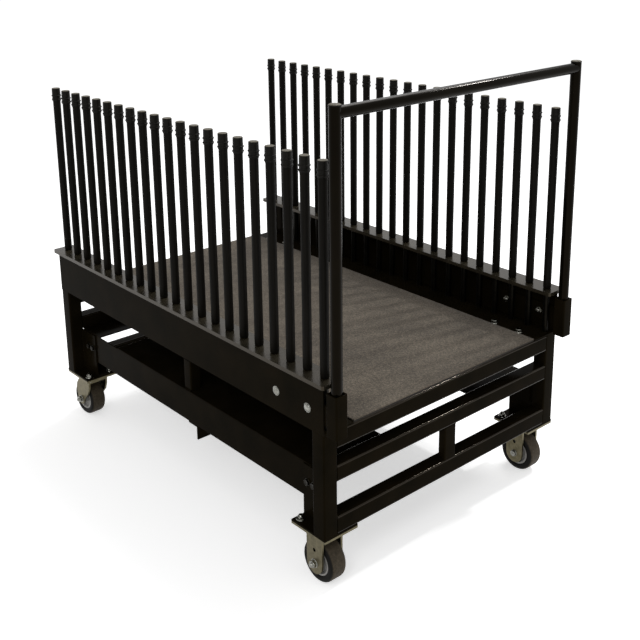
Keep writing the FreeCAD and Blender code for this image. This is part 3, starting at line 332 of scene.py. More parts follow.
# %% Carpet felt
TUFTS, LEANING = 5, 160
carpet_felt, tree, shader, place = new_finish("needle_felt_carpet")
tufts = add(tree, "ShaderNodeTexNoise", {"Vector": place, "Scale": every(TUFTS), "Detail": 4.0, "Roughness": 0.75})
lean = add(tree, "ShaderNodeTexNoise", {"Vector": place, "Scale": every(LEANING), "Detail": 2.0})
heather = add(tree, "ShaderNodeMath", {0: lean.outputs["Fac"], 1: 0.22, 2: tufts.outputs["Fac"]},
              operation="MULTIPLY_ADD")
tone = add(tree, "ShaderNodeValToRGB", {"Fac": heather.outputs["Value"]},
           [(0.42, linear("#2E2821")), (0.60, linear("#4E463B")), (0.78, linear("#72685A"))])
bump = add(tree, "ShaderNodeBump", {"Height": tufts.outputs["Fac"], "Strength": 0.7, "Distance": 1.5 * MM})
plug(tree, shader, {"Base Color": tone.outputs["Color"], "Normal": bump.outputs["Normal"], "Roughness": 0.95,
                    "Specular IOR Level": 0.1, "Sheen Weight": 0.15, "Sheen Roughness": 0.6})
print(carpet_felt.name, len(tree.nodes), "nodes")

# %% [markdown]
# ## Deck board
# Under the carpet lies a board, of which only the edge shows: dark stained plywood, with its plies as thin level
# lines. Noise that is squeezed to layers of 1.5 mm draws the plies on every edge at once, with no texture to unwrap.

# %% Deck board
PLY, LAYERED = 1.5, (0.02, 0.02, 1.0)
deck_ply, tree, shader, place = new_finish("dark_stained_plywood")
plies = add(tree, "ShaderNodeMapping", {"Vector": place, "Scale": LAYERED})
grain = add(tree, "ShaderNodeTexNoise", {"Vector": plies.outputs["Vector"], "Scale": every(PLY), "Detail": 3.0})
tone = add(tree, "ShaderNodeValToRGB", {"Fac": grain.outputs["Fac"]},
           [(0.35, linear("#14110D")), (0.7, linear("#2A241C"))])
plug(tree, shader, {"Base Color": tone.outputs["Color"], "Roughness": 0.7, "Specular IOR Level": 0.2})
print(deck_ply.name, len(tree.nodes), "nodes")

# %% [markdown]
# ## Sweeps round an axis
# Most small pieces of the trolley are turned: a profile goes round an axis. A Screw modifier could do that, but as a
# grid, where one parameter runs along the profile and the other round the axis, a whole piece is a few array
# operations, and its points stay in a known order. A form is an array of points and a list of face arrays, one array
# for each number of corners.

# %% Sweeps
def bands(rows, around, closed=False):
    """Quads between neighbouring rings of a grid of rows by points around, the last ring joined to the first if
    closed: each goes from point j to the next on one ring, and back over the same two on the next ring."""
    i, j = np.meshgrid(np.arange(rows if closed else rows - 1), np.arange(around), indexing="ij")
    near, far = i * around, (i + 1) % rows * around
    beside = (j + 1) % around
    return np.stack([near + j, near + beside, far + beside, far + j], -1).reshape(-1, 4)


def rings(radius, height, around):
    """At each height, x and y are radius times cosine and sine of the angle. A radius may vary with the angle."""
    radius, height = np.asarray(radius, float), np.asarray(height, float)
    angle = np.arange(around) * 2 * np.pi / around
    if radius.ndim == 1:
        radius = np.repeat(radius[:, None], around, axis=1)
    return np.stack([radius * np.cos(angle), radius * np.sin(angle),
                     np.repeat(height[:, None], around, axis=1)], -1).reshape(-1, 3)


def turned(radius, height, around):
    """A profile swept round z, its ends closed with a pole on the axis, at the first and last heights."""
    points = np.vstack([rings(radius, height, around), [[0, 0, height[0]]], [[0, 0, height[-1]]]])
    rows, j = len(height), np.arange(around)
    beside, last = (j + 1) % around, (rows - 1) * around
    low = np.stack([np.full(around, rows * around), beside, j], -1)
    high = np.stack([np.full(around, rows * around + 1), last + j, last + beside], -1)
    return points, [bands(rows, around), np.vstack([low, high])]


def hooped(radius, height, around):
    """A closed profile swept round z, as a ring with a hole: the grid joins up in both directions."""
    return rings(radius, height, around), [bands(len(height), around, closed=True)]


print("a washer with 4 corners in its profile has", len(hooped([5, 9, 9, 5], [0, 0, 1, 1], 24)[0]), "points")

# %% [markdown]
# ## Many copies of one form
# The trolley has 42 of each sleeve and cap and dozens of bolts. Linked copies would be separate objects, and every
# row has to be one piece. So one form is stamped out in many places, by multiplying its points with a stack of turns
# and adding a stack of origins, and its faces count on from copy to copy.

# %% Stamping
def facing(x, y, z):
    """The turn that brings the z axis to this direction, with the x axis kept level where it can be."""
    along = np.array([x, y, z], float) / np.linalg.norm([x, y, z])
    side = np.cross([0.0, 0.0, 1.0], along) if abs(along[2]) < 0.9 else np.array([1.0, 0.0, 0.0])
    side /= np.linalg.norm(side)
    return np.stack([side, np.cross(along, side), along], axis=1)


def counted_on(faces, copies, step):
    """The same faces for every copy, each copy's points numbered one step further on."""
    first = np.arange(copies)[:, None, None] * step
    return [(some + first).reshape(-1, some.shape[1]) for some in faces]


def stamped(form, turns, origins):
    """The form's points turned and moved to every place at once: turn times point, plus origin."""
    points, faces = form
    origins = np.asarray(origins, float)
    turns = np.broadcast_to(np.asarray(turns, float), (len(origins), 3, 3))
    placed = np.einsum("kij,nj->kni", turns, points) + origins[:, None, :]
    return placed.reshape(-1, 3), counted_on(faces, len(origins), len(points))


def joined(*forms):
    """Several forms as one: their points in a row, and their faces numbered to match."""
    firsts = np.cumsum([0] + [len(points) for points, faces in forms])
    return (np.vstack([points for points, faces in forms]),
            [some + first for first, (points, faces) in zip(firsts, forms) for some in faces])


UP, DOWN = facing(0, 0, 1), facing(0, 0, -1)
LEFT, RIGHT = facing(-1, 0, 0), facing(1, 0, 0)
print("a form turned right looks along", RIGHT[:, 2].tolist())

# %% [markdown]
# ## From arrays to pieces
# A piece is a mesh at the origin, hung on the body that carries it, with its finish in a slot, and the solids that it
# stands for are hidden. One function does all of that, so that no piece can forget it. Edges sharper than an angle stay
# sharp and all others are shaded smooth, which needs fewer faces than rounding everything.

# %% Pieces
def piece(name, form, material, body, stands_for=(), sharp=40, marks=None):
    """Puts points in millimetres and faces into a mesh at the origin, and tells the frame what carries it. Marks are
    named values on the points, for a finish to read."""
    points, faces = form
    mesh = bpy.data.meshes.new(name)
    mesh.from_pydata((points * MM).tolist(), [], [face for some in faces for face in some.tolist()])
    mesh.polygons.foreach_set("use_smooth", np.ones(len(mesh.polygons), bool))
    mesh.set_sharp_from_angle(angle=math.radians(sharp))
    mesh.materials.append(material)
    for mark, values in (marks or {}).items():
        mesh.attributes.new(mark, "FLOAT", "POINT").data.foreach_set("value", values)
    made = bpy.data.objects.new(name, mesh)
    bpy.context.scene.collection.objects.link(made)
    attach(made, body)
    if stands_for:
        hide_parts(*stands_for)
    print(name, len(points), "points")


front, rear = box_of("front_left_post")[0][1], box_of("rear_left_post")[1][1]
print("the frame runs from", round(front, 1), "to", round(rear, 1), "mm")

# %% [markdown]
# ## Steel with softened edges
# Sawn tube, sheared plate and folded sheet never have a mathematically sharp edge: paint and plating draw a thin
# gleam along every corner. A bevel node in the material could fake that, but the export keeps only real shapes. Each
# steel piece is therefore a copy of its solid, with its triangles merged into flat faces, and a Bevel that rounds only
# the true corners.

# %% Softened copies
TOUCHING, FLAT, TRUE_CORNER = 1e-6, math.radians(0.5), math.radians(35)
SQUARE = 0.999


def softened(node, width, material, corners=None):
    """A merged copy of a solid, its flat faces dissolved into one, with corners sharper than 35 degrees rounded.
    Faces that look along none of the three axes are the rounded corners, and may have a finish of their own."""
    mesh = nodes[node].data.copy()
    work = bmesh.new()
    work.from_mesh(mesh)
    bmesh.ops.remove_doubles(work, verts=work.verts, dist=TOUCHING)
    bmesh.ops.dissolve_limit(work, angle_limit=FLAT, verts=work.verts, edges=work.edges)
    work.to_mesh(mesh)
    work.free()
    if "custom_normal" in mesh.attributes:
        mesh.attributes.remove(mesh.attributes["custom_normal"])
    mesh.polygons.foreach_set("use_smooth", np.ones(len(mesh.polygons), bool))
    mesh.set_sharp_from_angle(angle=TRUE_CORNER)
    mesh.materials.clear()
    mesh.materials.append(material)
    if corners:
        mesh.materials.append(corners)
        looks = np.empty(len(mesh.polygons) * 3)
        mesh.polygons.foreach_get("normal", looks)
        slanted = np.abs(looks.reshape(-1, 3)).max(axis=1) < SQUARE
        mesh.polygons.foreach_set("material_index", slanted.astype(np.int32))
    made = bpy.data.objects.new("soft_" + node, mesh)
    bpy.context.scene.collection.objects.link(made)
    bevel = made.modifiers.new("rounded_corners", "BEVEL")
    bevel.width, bevel.segments = width * MM, 2
    bevel.limit_method, bevel.angle_limit = "ANGLE", TRUE_CORNER
    bevel.harden_normals = True
    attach(made, nodes[node]["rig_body"])
    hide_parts(node)


print("corners sharper than", round(math.degrees(TRUE_CORNER)), "degrees are rounded")

# %% [markdown]
# ## Which steel is softened
# The frame is tube and sheet of one paint, with tight corners. The flat bars on the rails are hot rolled and rounder,
# and the pressed caster sheet lies between. Each width could be set by hand on its object, but a list for each kind
# keeps like pieces alike.

# %% Softened steel
FRAME_STEEL = [f"{end}_{what}" for end in ("front", "rear")
               for what in ("left_post", "right_post", "top_bar", "middle_bar", "bottom_bar")]
FRAME_STEEL += [f"{side}_{what}" for side in ("left", "right")
                for what in ("side_beam", "deck_bearer", "rail", "socket")]
FRAME_STEEL += ["struts", "side_shelves", "corner_plates", "caster_pads", "uprights", "centre_cross_member"]
RAIL_BARS = ["left_rail_top", "right_rail_top"]
CASTER_SHEET = ["front_left_yoke", "front_right_yoke", "rear_left_fork", "rear_right_fork",
                "rear_left_caster_plate", "rear_right_caster_plate"]
FRAME_EDGE, RAIL_BAR_EDGE, CASTER_EDGE = 0.8, 1.6, 1.0
for name in FRAME_STEEL:
    softened(name, FRAME_EDGE, frame_coat, corner_coat if name.endswith("_bar") else None)
for name in RAIL_BARS:
    softened(name, RAIL_BAR_EDGE, bar_coat)
for name in CASTER_SHEET:
    softened(name, CASTER_EDGE, caster_zinc)
print("softened", len(FRAME_STEEL + RAIL_BARS + CASTER_SHEET))

# %% [markdown]
# ## Solids that stay as they are
# The handle's round tubes have no corner to soften, and the rods, the board, the kingpins and the race balls are almost
# hidden. New shapes for them would show nothing new, so they keep their solids and only get a finish.

# %% Finishes on solids
KEPT = {"harp_rods": rod_steel, "deck_board": deck_ply, "kingpins": bolt_zinc, "race_balls": bolt_zinc,
        "handle_left_post": handle_coat, "handle_right_post": handle_coat, "handle_crossbar": handle_coat}
for name, material in KEPT.items():
    nodes[name].data.materials.clear()
    nodes[name].data.materials.append(material)
print("kept", len(KEPT))

# %% [markdown]
# ## Rods and sleeves
# Forty-two rods stand in two rows, 72 mm apart, and each wears a soft tube, cut square with slightly rolled ends. A
# sleeve could be a curve with a bevel, but its rolled lips need their own profile. So its profile is a closed loop, up
# the outside with a quarter circle at each end and down the bore, and one sleeve is stamped out over the rows.

# %% Sleeves
ROD_RADIUS, ROD_COUNT = 10.0, 21
SLEEVE, SLEEVE_BORE, LIP = 13.2, 10.15, 1.1
SLEEVE_SIDES = 28
rod_low, rod_high = box_of("harp_rods")
rod_xs = np.array([rod_low[0] + ROD_RADIUS, rod_high[0] - ROD_RADIUS])
rod_ys = np.linspace(rod_low[1] + ROD_RADIUS, rod_high[1] - ROD_RADIUS, ROD_COUNT)
rod_spots = np.stack(np.meshgrid(rod_xs, rod_ys), -1).reshape(-1, 2)


def on_rods(height):
    """The places of all rods at one height."""
    return np.column_stack([rod_spots, np.full(len(rod_spots), height)])


sleeve_foot, sleeve_tip = (corner[2] for corner in box_of("rod_sleeves"))
roll = np.linspace(0, np.pi / 2, 4)
lip_in, lip_up = LIP * (1 - np.sin(roll)), LIP * (1 - np.cos(roll))
sleeve_radius = np.concatenate([SLEEVE - lip_in, SLEEVE - lip_in[::-1], [SLEEVE_BORE, SLEEVE_BORE]])
sleeve_height = np.concatenate([sleeve_foot + lip_up, sleeve_tip - lip_up[::-1], [sleeve_tip, sleeve_foot]])
sleeve = hooped(sleeve_radius, sleeve_height, SLEEVE_SIDES)
piece("soft_sleeves", stamped(sleeve, UP, on_rods(0.0)), sleeve_rubber, "chassis", ["rod_sleeves"])

# %% [markdown]
# ## End caps
# A vinyl cap closes each rod, with two ring beads near its mouth, a slight taper and a rounded top edge. The beads
# could be separate rings, but a moulding has no seams. They are half ellipses added to the profile's radius, where
# they lie, and the whole cap is one sweep. Points on its flat top carry the value for the painted highlight.

# %% End caps
CAP, MOUTH_IN, CAP_EDGE, CAP_SIDES = 14.8, 0.8, 2.0, 28
BEAD, BEAD_HALF, BEADS_UP, BEADS_END = 2.2, 2.4, (6.2, 19.3), 26.0
TAPER, TAPER_FROM, TAPER_OVER = 0.35, 24, 20
HIGHLIGHT_DEPTH = 0.4
cap_foot, cap_tip = (corner[2] for corner in box_of("rod_caps"))
cap_height = cap_tip - cap_foot
up = np.concatenate([np.linspace(0.0, BEADS_END, 40), np.linspace(BEADS_END + 2.0, cap_height - CAP_EDGE, 4)])
beading = sum(BEAD * np.sqrt(np.clip(1 - ((up - middle) / BEAD_HALF) ** 2, 0, 1)) for middle in BEADS_UP)
wall_radius = CAP + beading - TAPER * np.clip((up - TAPER_FROM) / TAPER_OVER, 0, 1)
edge = np.linspace(0, np.pi / 2, 6)[1:]
edge_radius = wall_radius[-1] - CAP_EDGE * (1 - np.cos(edge))
edge_height = cap_height - CAP_EDGE + CAP_EDGE * np.sin(edge)
cap = turned(np.concatenate([[CAP - MOUTH_IN], wall_radius, edge_radius, [edge_radius[-1] * 0.5]]),
             np.concatenate([[0.0], up, edge_height, [edge_height[-1]]]), CAP_SIDES)
# Points within this depth of the top get the painted highlight.
on_top = np.tile(cap[0][:, 2] > cap_height - HIGHLIGHT_DEPTH, len(rod_spots)).astype(float)
piece("ribbed_end_caps", stamped(cap, UP, on_rods(cap_foot)), cap_vinyl, "chassis", ["rod_caps"],
      marks={"painted_top_light": on_top})

# %% [markdown]
# ## Foot welds
# Each rod is welded into the bar on top of its rail. The weld is a low ring round the rod's foot, half sunk into the
# bar, and mostly in the shade of the sleeve. A torus primitive would do for one, but as a hooped ellipse it is stamped
# out over the rows like the sleeves.

# %% Foot welds
WELD_OUT, WELD_WIDE, WELD_UP, WELD_HIGH = 0.9, 1.5, 0.5, 1.3
WELD_SIDES, FOOT_SIDES = 8, 24
rail_top = box_of("left_rail_top")[1][2]
weld_angle = np.arange(WELD_SIDES) * 2 * np.pi / WELD_SIDES
foot_weld = hooped(ROD_RADIUS + WELD_OUT + WELD_WIDE * np.cos(weld_angle), WELD_UP + WELD_HIGH * np.sin(weld_angle),
                   FOOT_SIDES)
piece("rod_foot_welds", stamped(foot_weld, UP, on_rods(rail_top)), frame_coat, "chassis")

# %% [markdown]
# ## Carpet
# The carpet is a mat cut to the deck. A box with a bevel would look like a board. Here its face is a grid whose outer
# lines fall away over the cut edge, so that the corner catches light softly, and whose middle is very slightly uneven,
# as glued carpet is. One face with many corners closes the mat below.

# %% Carpet mat
UNEVEN, WAVE_ACROSS, WAVE_DRIFT, WAVE_ALONG = 0.06, 61.0, 97.0, 83.0
LINES_ACROSS, LINES_ALONG = 60, 100
mat_low, mat_high = box_of("deck_carpet")
THICK = mat_high[2] - mat_low[2]
fall = np.linspace(0, np.pi / 2, 5)[::-1]


def mat_lines(low, high, count):
    """Grid lines from edge to edge, close together over the rounded border, with how far each has fallen."""
    border, drop = THICK * (1 - np.sin(fall)), THICK * (1 - np.cos(fall))
    middle = np.linspace(low + THICK, high - THICK, count)[1:-1]
    lines = np.concatenate([low + border, middle, high - border[::-1]])
    return lines, np.concatenate([drop, np.zeros(len(middle)), drop[::-1]])


across, drop_across = mat_lines(mat_low[0], mat_high[0], LINES_ACROSS)
along, drop_along = mat_lines(mat_low[1], mat_high[1], LINES_ALONG)
x, y = np.meshgrid(across, along, indexing="ij")
fallen = np.minimum(np.hypot(drop_across[:, None], drop_along[None, :]), THICK)
waves = np.sin(x / WAVE_ACROSS + np.sin(y / WAVE_DRIFT)) * np.sin(y / WAVE_ALONG)
mat = np.stack([x, y, mat_high[2] - fallen - UNEVEN + UNEVEN * waves * (fallen == 0)], -1)
rows, columns = len(across), len(along)
i, j = np.meshgrid(np.arange(rows - 1), np.arange(columns - 1), indexing="ij")
corner = i * columns + j
mat_faces = np.stack([corner, corner + columns, corner + columns + 1, corner + 1], -1).reshape(-1, 4)
rim = np.concatenate([np.arange(columns), np.arange(1, rows) * columns + columns - 1,
                      (rows - 1) * columns + np.arange(columns - 1)[::-1], np.arange(1, rows - 1)[::-1] * columns])
piece("carpet_mat", (mat.reshape(-1, 3), [mat_faces, rim[None]]), carpet_felt, "chassis", ["deck_carpet"],
      sharp=80)

# %% [markdown]
# ## Hexagon heads
# A forged head is a hexagon whose top corners are turned off in a lathe, standing on a round flange. It could be cut
# out of a cylinder and a cone with Booleans, but those leave ragged faces. As a surface it is still a sweep round the
# axis: at each height the radius is the smaller of the hexagon's and the cone's.

# %% Hexagon heads
HEAD_SIDES, HEAD_SHARP = 48, 28
THREAD_STEPS, THREAD_DEPTH = 8, 0.45


def hexagon_head(flats, height, flange, flange_height, stub=0.0, stub_radius=6.0):
    """Radius at angle a is half the flats over the cosine of a, folded to 30 degrees either side of a flat, and never
    more than the turned cone. A round flange lies below, and a threaded end may stand above."""
    angle = np.arange(HEAD_SIDES) * 2 * np.pi / HEAD_SIDES
    hexagon = flats / 2 / np.cos((angle + np.pi / 6) % (np.pi / 3) - np.pi / 6)
    ring = np.ones(HEAD_SIDES)
    rise = height - flange_height
    # The flange, the hexagon's foot and flats, its turned corners and the edge of its top.
    rows = [(flange * ring, 0.0), (flange * ring, flange_height * 0.5), ((flange - 0.8) * ring, flange_height),
            (np.minimum(hexagon, flange - 1.2), flange_height), (hexagon, flange_height + rise * 0.15),
            (hexagon, flange_height + rise * 0.72),
            (np.minimum(hexagon, flats * 0.535), flange_height + rise * 0.88),
            (flats * 0.475 * ring, height)]
    if stub:
        # A nut's bore, the thread as shallow steps, and the chamfered end.
        rows += [((stub_radius + 0.6) * ring, height), (stub_radius * ring, height + 0.1)]
        rows += [((stub_radius - THREAD_DEPTH * (k % 2)) * ring, height + 0.1 + (stub - 0.6) * k / THREAD_STEPS)
                 for k in range(THREAD_STEPS + 1)]
        rows += [((stub_radius - 1.1) * ring, height + stub)]
    else:
        # A bolt's top, slightly dished.
        rows += [(flats * 0.40 * ring, height - 0.35), (flats * 0.2 * ring, height - 0.45)]
    return turned(np.stack([r for r, h in rows]), [h for r, h in rows], HEAD_SIDES)


print("an M10 head has", len(hexagon_head(17, 7.0, 10.6, 1.6)[0]), "points")

# %% [markdown]
# ## Bolts in the rail feet
# Four bolts hold each rail's foot down, two near each end of the frame, and their broad flanges glint on the black
# steel. They are all alike, so one head is stamped out at eight places. The shanks lie inside the steel and are left
# out.

# %% Rail foot bolts
RAIL_BOLT_X, RAIL_FOOT_TOP = 416.0, 512.0
RAIL_BOLTS_IN = (77, 180)
rail_bolt_ys = [front + RAIL_BOLTS_IN[0], front + RAIL_BOLTS_IN[1], rear - RAIL_BOLTS_IN[1], rear - RAIL_BOLTS_IN[0]]
rail_bolt_spots = [(x, y, RAIL_FOOT_TOP) for x in (-RAIL_BOLT_X, RAIL_BOLT_X) for y in rail_bolt_ys]
rail_bolt = hexagon_head(flats=19, height=12.0, flange=13.4, flange_height=3.0)
piece("rail_foot_bolts", stamped(rail_bolt, UP, rail_bolt_spots), bolt_zinc, "chassis", ["rail_bolts"],
      HEAD_SHARP)

# %% [markdown]
# ## Bolts of the casters
# Every caster plate hangs on four bolts, with their heads below the plate. They could be placed one by one, but the
# plates are alike, so one pattern of four round each plate's centre gives all sixteen.

# %% Caster bolts
CASTER_X, CASTER_IN = 453.0, 73.0
BOLT_ACROSS, BOLT_ALONG = 43, 54
PLATE_UNDERSIDE, PAD_TOP = 172.0, 185.0
caster_xs, kingpin_y = np.array([-CASTER_X, CASTER_X]), rear - CASTER_IN
head_spots = [(x + a, y + b, PLATE_UNDERSIDE) for x in caster_xs for y in (front + CASTER_IN, kingpin_y)
              for a in (-BOLT_ACROSS, BOLT_ACROSS) for b in (-BOLT_ALONG, BOLT_ALONG)]
caster_bolt = hexagon_head(flats=17, height=7.0, flange=10.6, flange_height=1.6)
piece("caster_bolt_heads", stamped(caster_bolt, DOWN, head_spots), bolt_zinc, "chassis",
      ["caster_bolts"], HEAD_SHARP)

# %% [markdown]
# ## Nuts of the casters
# Only two nuts of each caster can be seen, on top of the pad beside the post, each with the end of its thread. Thread
# as a helix would be too fine to see, so it is a stack of shallow rings on the same sweep.

# %% Caster nuts
NUTS_IN = CASTER_IN + BOLT_ALONG
nut_spots = [(x + a, y, PAD_TOP) for x in caster_xs for y in (front + NUTS_IN, rear - NUTS_IN)
             for a in (-BOLT_ACROSS, BOLT_ACROSS)]
caster_nut = hexagon_head(flats=19, height=10.5, flange=14.0, flange_height=2.6, stub=5.0)
piece("caster_flange_nuts", stamped(caster_nut, UP, nut_spots), bolt_zinc, "chassis", ["caster_nuts"],
      HEAD_SHARP)

# %% [markdown]
# ## Bolts of the corner plates
# Each corner plate is held by two black bolts that look out sideways. A mirror modifier would have to be applied
# first, so the head is stamped twice instead, once looking left and once looking right, and the rows are joined.

# %% Corner plate bolts
CORNER_PLATE_FACE = 471.0
PLATE_BOLTS_IN = (97, 125)
beam_ys = [front + PLATE_BOLTS_IN[0], front + PLATE_BOLTS_IN[1], rear - PLATE_BOLTS_IN[1], rear - PLATE_BOLTS_IN[0]]
beam_z, socket_z = (sum(corner[2] for corner in box_of(name)) / 2 for name in ("beam_bolts", "socket_bolts"))


def along_side(x, ys, z):
    """Places in a row along one side of the trolley."""
    return [(x, y, z) for y in ys]


beam_head = hexagon_head(flats=18, height=7.5, flange=11.5, flange_height=1.8)
beam_bolts = joined(stamped(beam_head, LEFT, along_side(-CORNER_PLATE_FACE, beam_ys, beam_z)),
                    stamped(beam_head, RIGHT, along_side(CORNER_PLATE_FACE, beam_ys, beam_z)))
piece("corner_plate_bolts", beam_bolts, black_zinc, "chassis", ["beam_bolts"], HEAD_SHARP)

# %% [markdown]
# ## Nuts of the frame
# The nuts of the corner plates are behind the beam, and those of the socket bolts sit on the inside of the rail. All
# these nuts are one node of the frame, so both kinds are joined into one piece here too, with the left ones looking
# right and the right ones looking left.

# %% Frame nuts
BEAM_INSIDE, PITCH, SOCKET_BOLTS_AT = 462.0, 72.0, (0.58, 2.47)
socket_ys = [rod_ys[0] + PITCH * share for share in SOCKET_BOLTS_AT]
rail_inside = box_of("frame_nuts")[1][0]
frame_nut = hexagon_head(flats=18, height=10.0, flange=12.5, flange_height=2.4, stub=3.0)
frame_nuts = joined(stamped(frame_nut, RIGHT, along_side(-rail_inside, socket_ys, socket_z)
                            + along_side(-BEAM_INSIDE, beam_ys, beam_z)),
                    stamped(frame_nut, LEFT, along_side(rail_inside, socket_ys, socket_z)
                            + along_side(BEAM_INSIDE, beam_ys, beam_z)))
piece("frame_flange_nuts", frame_nuts, bolt_zinc, "chassis", ["frame_nuts"], HEAD_SHARP)

# %% [markdown]
# ## Round-headed socket bolts
# The bolts through the rail at the handle end have broad mushroom heads on a thin flange. A squashed sphere would have
# its poles in the wrong place. A quarter ellipse swept round the bolt's own axis puts the pole on top.

# %% Socket bolts
RAIL_FACE, DOME_SIDES = 516.0, 40
FLANGE_OUT, FLANGE_UP = [14.0, 14.0, 13.2], [0.0, 0.9, 1.4]
DOME_FOOT, DOME_FROM, DOME_RISE, DOME_TIP = 12.2, 1.4, 4.6, 0.4
quarter = np.linspace(0, np.pi / 2, 10)[:-1]
dome_radius = np.concatenate([FLANGE_OUT, DOME_FOOT * np.cos(quarter), [DOME_TIP]])
dome_height = np.concatenate([FLANGE_UP, DOME_FROM + DOME_RISE * np.sin(quarter), [DOME_FROM + DOME_RISE]])
dome = turned(dome_radius, dome_height, DOME_SIDES)
domes = joined(stamped(dome, LEFT, along_side(-RAIL_FACE, socket_ys, socket_z)),
               stamped(dome, RIGHT, along_side(RAIL_FACE, socket_ys, socket_z)))
piece("round_socket_bolts", domes, bolt_zinc, "chassis", ["socket_bolts"])

# %% [markdown]
# ## Handle lids
# The handle's posts end in low moulded domes that are flush with the tube. They are swept like the bolts, with a
# flatter curve, and the value for the painted highlight fades in over their height, so that their tops get the same
# painted highlight as the caps'.

# %% Handle lids
SKIRT_OUT, SKIRT_UP = [16.6, 17.0, 17.0], [-0.4, -0.1, 1.2]
LID, LID_FROM, LID_RISE, LID_FLATNESS, LID_FADE = 16.9, 1.4, 3.6, 0.6, 2.0
post_low, post_high = box_of("handle_left_post")
handle_y, handle_tip, handle_x = (post_low[1] + post_high[1]) / 2, post_high[2], -(post_low[0] + post_high[0]) / 2
lid_radius = np.concatenate([SKIRT_OUT, LID * np.cos(quarter) ** LID_FLATNESS, [DOME_TIP]])
lid_height = np.concatenate([SKIRT_UP, LID_FROM + LID_RISE * np.sin(quarter), [LID_FROM + LID_RISE]])
lid = turned(lid_radius, lid_height, DOME_SIDES)
lid_spots = [(-handle_x, handle_y, handle_tip), (handle_x, handle_y, handle_tip)]
# The painted highlight fades in over the dome's height.
lid_painted_highlight = np.tile(np.clip((lid[0][:, 2] - SKIRT_UP[-1]) / LID_FADE, 0, 1), len(lid_spots))
piece("handle_lids", stamped(lid, UP, lid_spots), cap_vinyl, "handle", ["handle_caps"],
      marks={"painted_top_light": lid_painted_highlight})

# %% [markdown]
# ## Tyre
# Each wheel is a hub with a solid tyre moulded round it. The tyre has a flat tread, round shoulders and side walls
# that draw in to the rim. A bevelled cylinder would give shoulders of one roundness only, so the tyre is a closed
# profile, hooped round the axle. A value on its points tells the tread from the side walls.

# %% Tyre form
TYRE, RIM, TYRE_HALF, SHOULDER, WHEEL_SIDES = 65.0, 44.0, 29.0, 11.0, 72
TREAD_FROM, TREAD_FADE = 3.2, 2.4
bend = np.linspace(0, np.pi / 2, 8)
shoulder_out = TYRE - SHOULDER * (1 - np.sin(bend))
shoulder_up = TYRE_HALF - SHOULDER * (1 - np.cos(bend))
tread_lines = np.linspace(-TYRE_HALF + SHOULDER, TYRE_HALF - SHOULDER, 9)[1:-1]
wall_out, wall_up = RIM + np.array([0.1, 1.5, 6.0]), np.array([26.0, 27.6, TYRE_HALF])
tyre_radius = np.concatenate([wall_out, shoulder_out, np.full(len(tread_lines), TYRE), shoulder_out[::-1],
                              wall_out[::-1]])
tyre_height = np.concatenate([-wall_up, -shoulder_up, tread_lines, shoulder_up[::-1], wall_up[::-1]])
tyre_form = hooped(tyre_radius, tyre_height, WHEEL_SIDES)
tread_value = np.repeat(np.clip((tyre_radius - TYRE + TREAD_FROM) / TREAD_FADE, 0, 1), WHEEL_SIDES)
print("tyre", 2 * TYRE, "mm across and", 2 * TYRE_HALF, "mm wide")

# %% [markdown]
# ## Hub
# The hub has a rim, a thin web and a boss that almost touches the fork. It could be built up from cylinders, but a
# moulding is one piece, and half a profile says it all: from the bore over the boss, the web and the rim to the
# middle of the tyre's seat, and then mirrored.

# %% Hub form
hub_radius = np.array([6.3, 15.8, 17.0, 17.0, 19.5, 34.0, 36.6, 37.4, 38.4, 43.0, 44.0, 44.0])
hub_height = np.array([32.5, 32.5, 31.3, 13.5, 12.0, 12.0, 14.0, 24.6, 26.0, 26.0, 25.0, 0.0])
hub_form = hooped(np.concatenate([hub_radius, hub_radius[-2::-1]])[::-1],
                  np.concatenate([hub_height, -hub_height[-2::-1]])[::-1], WHEEL_SIDES)
print("hub", 2 * hub_height.max(), "mm wide over its boss")

# %% [markdown]
# ## Wheels and axles in place
# The front wheels stand straight, and the rear ones stand as their forks do, trailing behind the kingpin. So the
# direction from the kingpin to the hub's centre, turned a quarter, is the axle of a rear wheel. The axle's bolt, nut
# and shank stay with the fork, because only hub and tyre roll.

# %% Wheels
AXLE_HALF, AXLE_RADIUS, AXLE_SIDES = 40, 6.0, 24
nut_form = hexagon_head(flats=21, height=11.0, flange=14.0, flange_height=1.8, stub=6.0)
head_form = hexagon_head(flats=19, height=7.5, flange=12.0, flange_height=1.5)
shank_form = turned([AXLE_RADIUS, AXLE_RADIUS], [-AXLE_HALF, AXLE_HALF], AXLE_SIDES)
for end in ("front", "rear"):
    for side, sign in (("left", -1.0), ("right", 1.0)):
        wheel = f"{end}_{side}"
        low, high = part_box(wheel + "_hub")
        centre = np.array((low + high) / 2) / MM
        trail = (centre[0] - sign * CASTER_X, centre[1] - kingpin_y) if end == "rear" else (0, 1.0)
        way = facing(trail[1], -trail[0], 0)
        outer_end = way[:, 2] * AXLE_HALF * sign
        piece(wheel + "_solid_tyre", stamped(tyre_form, way, [centre]), tyre_rubber, wheel + "_wheel",
              [wheel + "_tyre"], marks={"tread": tread_value})
        piece(wheel + "_moulded_hub", stamped(hub_form, way, [centre]), hub_nylon, wheel + "_wheel",
              [wheel + "_hub"])
        axle = joined(stamped(nut_form, way @ facing(0, 0, sign), [centre + outer_end]),
                      stamped(head_form, way @ facing(0, 0, -sign), [centre - outer_end]),
                      stamped(shank_form, way, [centre]))
        carrier = "chassis" if end == "front" else wheel + "_swivel"
        stands_for = ["front_axles"] if end == "front" else [wheel + "_axle"]
        piece(wheel + "_axle_bolt", axle, bolt_zinc, carrier, stands_for, HEAD_SHARP)

# %% [markdown]
# ## Weld beads
# Frame joints are welded. A bead is a half-buried round section carried along the joint, thicker and thinner where
# each drop froze, and tapered to nothing at its ends. A bevelled curve would need one object for each joint. All
# straight beads are worked out together instead, as one array of joints by stations along the bead by points round
# the section.

# %% Straight beads
STATIONS, ROUND, DROP, RIPPLE = 34, 8, 3.5, 0.14


